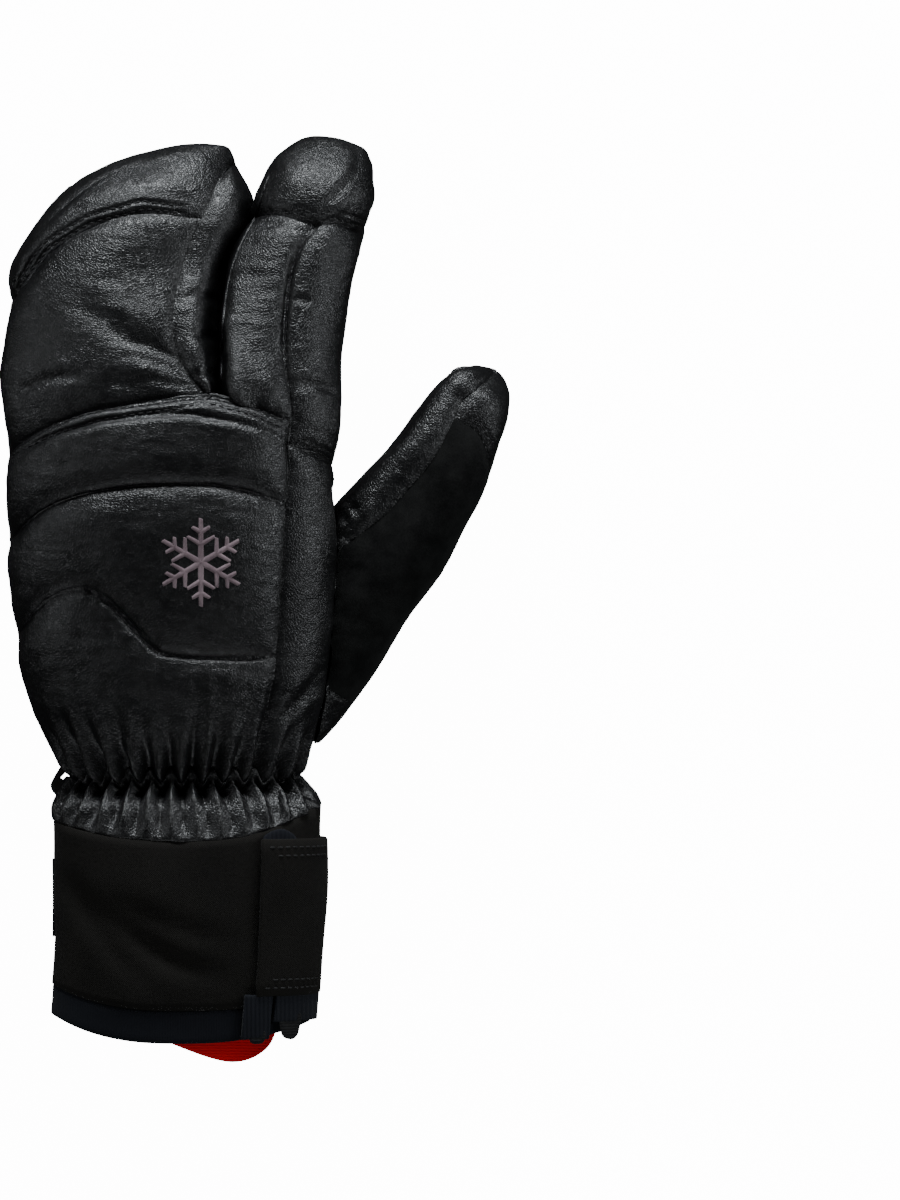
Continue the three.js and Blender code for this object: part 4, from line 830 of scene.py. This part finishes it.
class Stitching:
    """The threads of one kind, gathered from many rows and made as one mesh."""

    def __init__(self):
        self.places, self.ways, self.normals, self.lengths = [], [], [], []

    def thread(self, place, way, normal, length):
        """Adds one thread, which lies level with the surface."""
        normal = normal / np.linalg.norm(normal)
        way = way - normal * (way @ normal)
        self.places.append(place)
        self.ways.append(way / max(1e-9, np.linalg.norm(way)))
        self.normals.append(normal)
        self.lengths.append(length)

    def row(self, points, normals):
        """Stitches at an even pitch along a row that lies on the surface."""
        line = even_steps(np.hstack([points, normals]), STITCH_PITCH / STITCH_STEPS)
        half = STITCH_STEPS // 2
        for i in range(half, len(line) - half, STITCH_STEPS):
            self.thread(line[i, :3], line[i + 2, :3] - line[i - 2, :3], line[i, 3:], STITCH_LENGTH)

    def made(self, name, radius, mat):
        """Each thread is a small pill whose ends go down into the surface."""
        sides = THREAD_SIDES
        rings = len(THREAD_FORM)
        turn = (np.arange(sides) * 2 * math.pi / sides)[None, None, :, None]
        places = np.array(self.places)[:, None, None, :]
        ways = np.array(self.ways)[:, None, None, :]
        normals = np.array(self.normals)[:, None, None, :]
        along, thick, high = (column[None, :, None, None] for column in THREAD_FORM.T)
        length = np.array(self.lengths)[:, None, None, None]
        middle = places + ways * along * length
        up = normals * radius * (high + thick * np.sin(turn))
        co = middle + up + np.cross(normals, ways) * radius * thick * np.cos(turn)
        faces = []
        for k in range(len(self.places)):
            base = k * rings * sides
            for j in range(rings - 1):
                for i in range(sides):
                    a, b = base + j * sides + i, base + j * sides + (i + 1) % sides
                    faces.append((a, b, b + sides, a + sides))
            faces.append(tuple(base + i for i in reversed(range(sides))))
            faces.append(tuple(base + (rings - 1) * sides + i for i in range(sides)))
        return new_piece(name, co.reshape(-1, 3), faces, mat)

def new_piece(name, co, faces, mat):
    """A piece of the scene's own, which stands for no CAD node."""
    mesh = bpy.data.meshes.new(name)
    mesh.from_pydata([tuple(p) for p in co], [], faces)
    mesh.update()
    obj = bpy.data.objects.new(name, mesh)
    bpy.context.collection.objects.link(obj)
    for p in mesh.polygons:
        p.use_smooth = True
    mesh.materials.append(mat)
    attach(obj, "root")
    return obj

def tube(name, points, normals, radius, mat):
    """A round edge sewn along a line of the surface, thinner at both ends."""
    sides = PIPING_SIDES
    ways = np.gradient(points, axis=0)
    ways /= np.linalg.norm(ways, axis=1)[:, None]
    across = np.cross(normals, ways)
    across /= np.linalg.norm(across, axis=1)[:, None]
    turn = np.arange(sides) * 2 * math.pi / sides
    count = len(points)
    place = np.arange(count) / (count - 1)
    thick = radius * np.clip(np.minimum(place, 1 - place) / PIPING_TAPER, 0.15, 1) ** 0.5
    ring = across[:, None] * np.cos(turn)[None, :, None] + normals[:, None] * np.sin(turn)[None, :, None]
    co = points[:, None] + ring * thick[:, None, None]
    faces = []
    for j in range(count - 1):
        for i in range(sides):
            a, b = j * sides + i, j * sides + (i + 1) % sides
            faces.append((a, b, b + sides, a + sides))
    faces.append(tuple(reversed(range(sides))))
    faces.append(tuple((count - 1) * sides + i for i in range(sides)))
    return new_piece(name, co.reshape(-1, 3), faces, mat)

def tongue(name, corners, feet, surface, levels, mat):
    """A small flat end of cloth, drawn by its corners on the photo, level with the surface at two feet."""
    low, high = levels
    outline = photo_line(corners + corners[:1], TONGUE_STEP)[:-1]
    middle = outline.mean(axis=0)
    ground, _ = dropped([plan(*p) for p in feet], surface)
    count = len(outline)
    layers = []
    for level, shares in ((high, TONGUE_RINGS[::-1]), (low, TONGUE_RINGS)):
        for share in shares:
            xy = middle + (outline - middle) * share
            z = np.interp(xy[:, 0], ground[:, 0], ground[:, 2]) + level
            if share == 1.0:
                z += TONGUE_ROUND * (0.5 * (high + low) - level)
            layers.append(np.column_stack([xy, z]))
    faces = [tuple(range(count))]
    for j in range(len(layers) - 1):
        for i in range(count):
            a, b = j * count + i, j * count + (i + 1) % count
            faces.append((a, a + count, b + count, b))
    faces.append(tuple((len(layers) - 1) * count + i for i in reversed(range(count))))
    return new_piece(name, np.vstack(layers), faces, mat)

def finish_piece(obj, name, mat, slot, *nodes):
    """Names a piece that replaces CAD nodes and gives it its material. The slot is not used."""
    obj.name = name
    obj.data.materials.clear()
    obj.data.materials.append(mat)
    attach(obj, "root")
    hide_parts(*nodes)

def sew(node, piece, stitching):
    """Sets the node's rows of stitches into the surface of its piece."""
    lines = [row for name, offsets, guide in SEAM_ROWS if name == node
             for offset in offsets for row in beside_edge(node, offset * MM, guide)]
    surface = surface_of(piece)
    rows = [settled(line, surface) for line in lines]
    if node in HEEL_PIECES:
        rows += heel_rows(surface)
    rows = [row for row in rows if len(row[0]) > ROW_POINTS]
    if not rows:
        return
    co, no = points_of(piece)
    away, _ = nearest(tree_of(np.vstack([places for places, _ in rows])), co)
    raised = ROW_SWELL * np.exp(-(away / (3 * ROW_WIDTH)) ** 2)
    pulled = (ROW_SWELL + ROW_DEPTH) * np.exp(-(away / ROW_WIDTH) ** 2)
    move_points(piece, co + no * (raised - pulled)[:, None])
    sunk = surface_of(piece)
    for places, _ in rows:
        stitching.row(*settled(places, sunk))

def heel_rows(surface):
    """The two rows of the patch on the heel of the palm, as far as they cross this surface."""
    rows = []
    line = photo_line(HEEL_ROWS, ROW_STEP)
    away = np.gradient(line, axis=0)[:, ::-1] * (1, -1)
    away /= np.linalg.norm(away, axis=1)[:, None]
    for offset in (0, HEEL_GAP * MM):
        places, normals = dropped(line + away * offset, surface, -1)
        if len(places) == 0:
            continue
        breaks = np.flatnonzero(np.linalg.norm(np.diff(places, axis=0), axis=1) > 3 * ROW_STEP) + 1
        rows += list(zip(np.split(places, breaks), np.split(normals, breaks)))
    return rows

# The sewn edges of the panels, and the places along their seams

sewn_nodes = list(PADDED) + ["cuff", "cuff_strap", "strap_patch"]
borders = {}
for node in sewn_nodes:
    bm = merged(node, sewn=node in PADDED)
    borders[node] = outer_border(bm)
    bm.free()
seam_tree, seam_runs = seam_samples({node: borders[node] for node in PADDED})

# The leather panels

leather_stitches = Stitching()
cloth_stitches = Stitching()
pieces = {}
for node, (fill, swell) in PADDED.items():
    piece = subdivided(node, LEVELS + (node in FINER) - (node in COARSER), PANEL_CRISPNESS, sewn=True)
    co, no = points_of(piece)
    moved = co + no * panel_field(node, co, no, seam_tree, seam_runs, swell)[:, None]
    if node.startswith(("mitt", "index")):
        moved = pressed(node, moved)
    elif node in PLEATED:
        moved = pleated(moved)
    moved[:, 2] = np.maximum(moved[:, 2], 0)
    move_points(piece, moved)
    sew(node, piece, leather_stitches)
    mat, slot = (SUEDE, "suede") if node == "thumb_pad" else (BLACK, "leather")
    finish_piece(piece, node + "_leather", mat, slot, node)
    pieces[node] = piece

# The pleated ring of the wrist

piece = subdivided("wrist_gather", GATHER_LEVELS, GATHER_CRISPNESS)
co, no = points_of(piece)
field = waves(co, GATHER_WAVES) + (no[:, 2] > 0.2) * crease_depth(co, CREASES)
move_points(piece, pleated(co + no * field[:, None]))
finish_piece(piece, "wrist_gather_leather", BLACK, "leather", "wrist_gather")
pieces["wrist_gather"] = piece

# The cloth pieces: levels of rounding, crispness of the edges, material, slot, share of the folds
CLOTH = {
    "cuff": (2, 0.6, SOFTSHELL, "softshell", 1.0),
    "cuff_hem": (2, 0.4, KNIT, "knit", 0.5),
    "cuff_strap": (2, 0.5, SOFTSHELL, "softshell", 0.5),
    "strap_patch": (3, 0.4, PILE, "loop_patch", 0.3),
    "side_label": (3, 0.7, LABEL, "knit", 0.0),
    "hem_elastic": (3, 0.5, RIBBED, "elastic", 0.2),
    "hem_tab": (3, 0.5, RIBBED, "elastic", 0.2),
    "pull_loop": (3, 0.6, RED, "webbing", 0.0),
    "clip_tape": (3, 0.5, TAPE, "tape", 0.0),
}
for node, (levels, crispness, mat, slot, folded) in CLOTH.items():
    piece = subdivided(node, levels, crispness)
    co, no = points_of(piece)
    out, _ = radial(co)
    top = np.clip((out[:, 2] + FOLD_ROUND) / FOLD_FADE, 0, 1)
    field = folded * (top * crease_depth(co, CUFF_FOLDS) + waves(co, CLOTH_WAVES))
    move_points(piece, co + out * field[:, None])
    if node in borders:
        sew(node, piece, cloth_stitches)
    finish_piece(piece, node + "_cloth", mat, slot, node)
    pieces[node] = piece

leather_stitches.made("leather_stitches", THREAD, THREADS)
cloth_stitches.made("cloth_stitches", THREAD, THREADS)

# The moulded hook

piece = subdivided("clip", 1, 1.0)
edges = piece.modifiers.new("edges", "BEVEL")
edges.width = HOOK_EDGE
edges.segments = HOOK_EDGE_STEPS
edges.limit_method = "ANGLE"
edges.angle_limit = HOOK_EDGE_ANGLE
apply_modifiers(piece)
finish_piece(piece, "clip_moulding", PLASTIC, "plastic", "clip")

# The raised edge of the index finger

def highest(spot, surfaces):
    """The highest place over a plan point on any of the surfaces, with the normal there."""
    hits = [np.hstack(dropped([spot], surface)) for surface in surfaces]
    return max((hit[0] for hit in hits if len(hit)), key=lambda hit: hit[2], default=None)

index_surfaces = [surface_of(pieces["index_tip_cap"]), surface_of(pieces["index_back"])]
edge_tops = [highest(spot, index_surfaces) for spot in photo_line(PIPING, PIPING_STEP)]
edge_tops = np.array([hit for hit in edge_tops if hit is not None])
tube("index_piping", edge_tops[:, :3], edge_tops[:, 3:], PIPING_RADIUS * MM, BLACK)

# The embroidered star of satin stitches

def satin(stitching, surface, start, end, width):
    """A band of threads laid side by side at a slant, a little narrower towards its end."""
    run = np.subtract(end, start)
    length = np.linalg.norm(run)
    way = run / length
    slant = math.radians(SATIN_SLANT)
    turned = np.array([way[0] * math.cos(slant) - way[1] * math.sin(slant),
                       way[0] * math.sin(slant) + way[1] * math.cos(slant)])
    for place in np.arange(0, length, SATIN_PITCH * MM):
        share = place / length
        middles, normals = dropped([start + way * place], surface)
        if len(middles):
            wide = width * (1 - SATIN_TAPER * share) / math.sin(slant)
            stitching.thread(middles[0], np.array([*turned, 0]), normals[0], wide)

star_stitches = Stitching()
pad_surface = surface_of(pieces["back_pad"])
star_middle = np.array(plan(*STAR))
arm_turn = math.radians(360 / STAR_ARMS)
for arm in range(STAR_ARMS):
    angle = math.pi / 2 + arm * arm_turn
    way = np.array([math.cos(angle), math.sin(angle)])
    satin(star_stitches, pad_surface, star_middle, star_middle + way * STAR_ARM * MM, STAR_BAND * MM)
    for share, reach in STAR_TWIGS:
        foot = star_middle + way * STAR_ARM * share * MM
        for turn in (-1, 1):
            twig = angle + turn * arm_turn
            tip = foot + np.array([math.cos(twig), math.sin(twig)]) * STAR_ARM * reach * MM
            satin(star_stitches, pad_surface, foot, tip, TWIG_BAND * MM)
star_stitches.made("star_embroidery", SATIN_THREAD * MM, MAUVE)

# The small ends of cloth at the cuff

tongue("strap_insert", STRAP_INSERT, STRAP_INSERT_FEET, surface_of(pieces["cuff"]),
       STRAP_INSERT_LEVELS, RIBBED)
tongue("hem_end_long", LONG_END, LONG_END_FEET, surface_of(pieces["hem_elastic"]),
       END_LEVELS, TAPE)
tongue("hem_end_short", SHORT_END, SHORT_END_FEET, surface_of(pieces["hem_tab"]),
       END_LEVELS, TAPE)

# Camera, floor and light

bpy.ops.mesh.primitive_plane_add(size=FLOOR_SIZE)
floor = bpy.context.object
floor.name = "floor"
floor_mat, _, floor_shader = material("pale_floor", (0.9, 0.9, 0.9), 0.9)
floor_shader.inputs["Emission Color"].default_value = (1, 1, 1, 1)
floor_shader.inputs["Emission Strength"].default_value = FLOOR_GLOW
floor.data.materials.append(floor_mat)
floor.visible_glossy = False
floor.visible_diffuse = False

def softbox(name, place_at, size, power):
    """A rectangular studio light that faces the glove."""
    data = bpy.data.lights.new(name, "AREA")
    data.shape = "RECTANGLE"
    data.size, data.size_y = size
    data.energy = power
    data.color = LIGHT_COLOUR
    obj = bpy.data.objects.new(name, data)
    obj.location = place_at
    aim = Vector(LIGHT_AIM) - Vector(place_at)
    obj.rotation_euler = aim.to_track_quat("-Z", "Y").to_euler()
    bpy.context.collection.objects.link(obj)

for name, place_at, size, power in LIGHTS:
    softbox(name, place_at, size, power)

world = bpy.data.worlds.new("studio")
bpy.context.scene.world = world
world.use_nodes = True
background = world.node_tree.nodes["Background"]
background.inputs["Color"].default_value = (1, 1, 1, 1)
background.inputs["Strength"].default_value = WORLD_GLOW

camera_data = bpy.data.cameras.new("camera")
camera_data.lens = LENS
camera_data.sensor_width = SENSOR
camera_data.sensor_fit = "AUTO"
camera = bpy.data.objects.new("camera", camera_data)
distance = PHOTO_HEIGHT * PIXEL * LENS / SENSOR
camera.location = (VIEW_X, VIEW_Y, FOCUS_HEIGHT + distance)
camera_data.clip_start = CLIP_START
bpy.context.collection.objects.link(camera)
bpy.context.scene.camera = camera
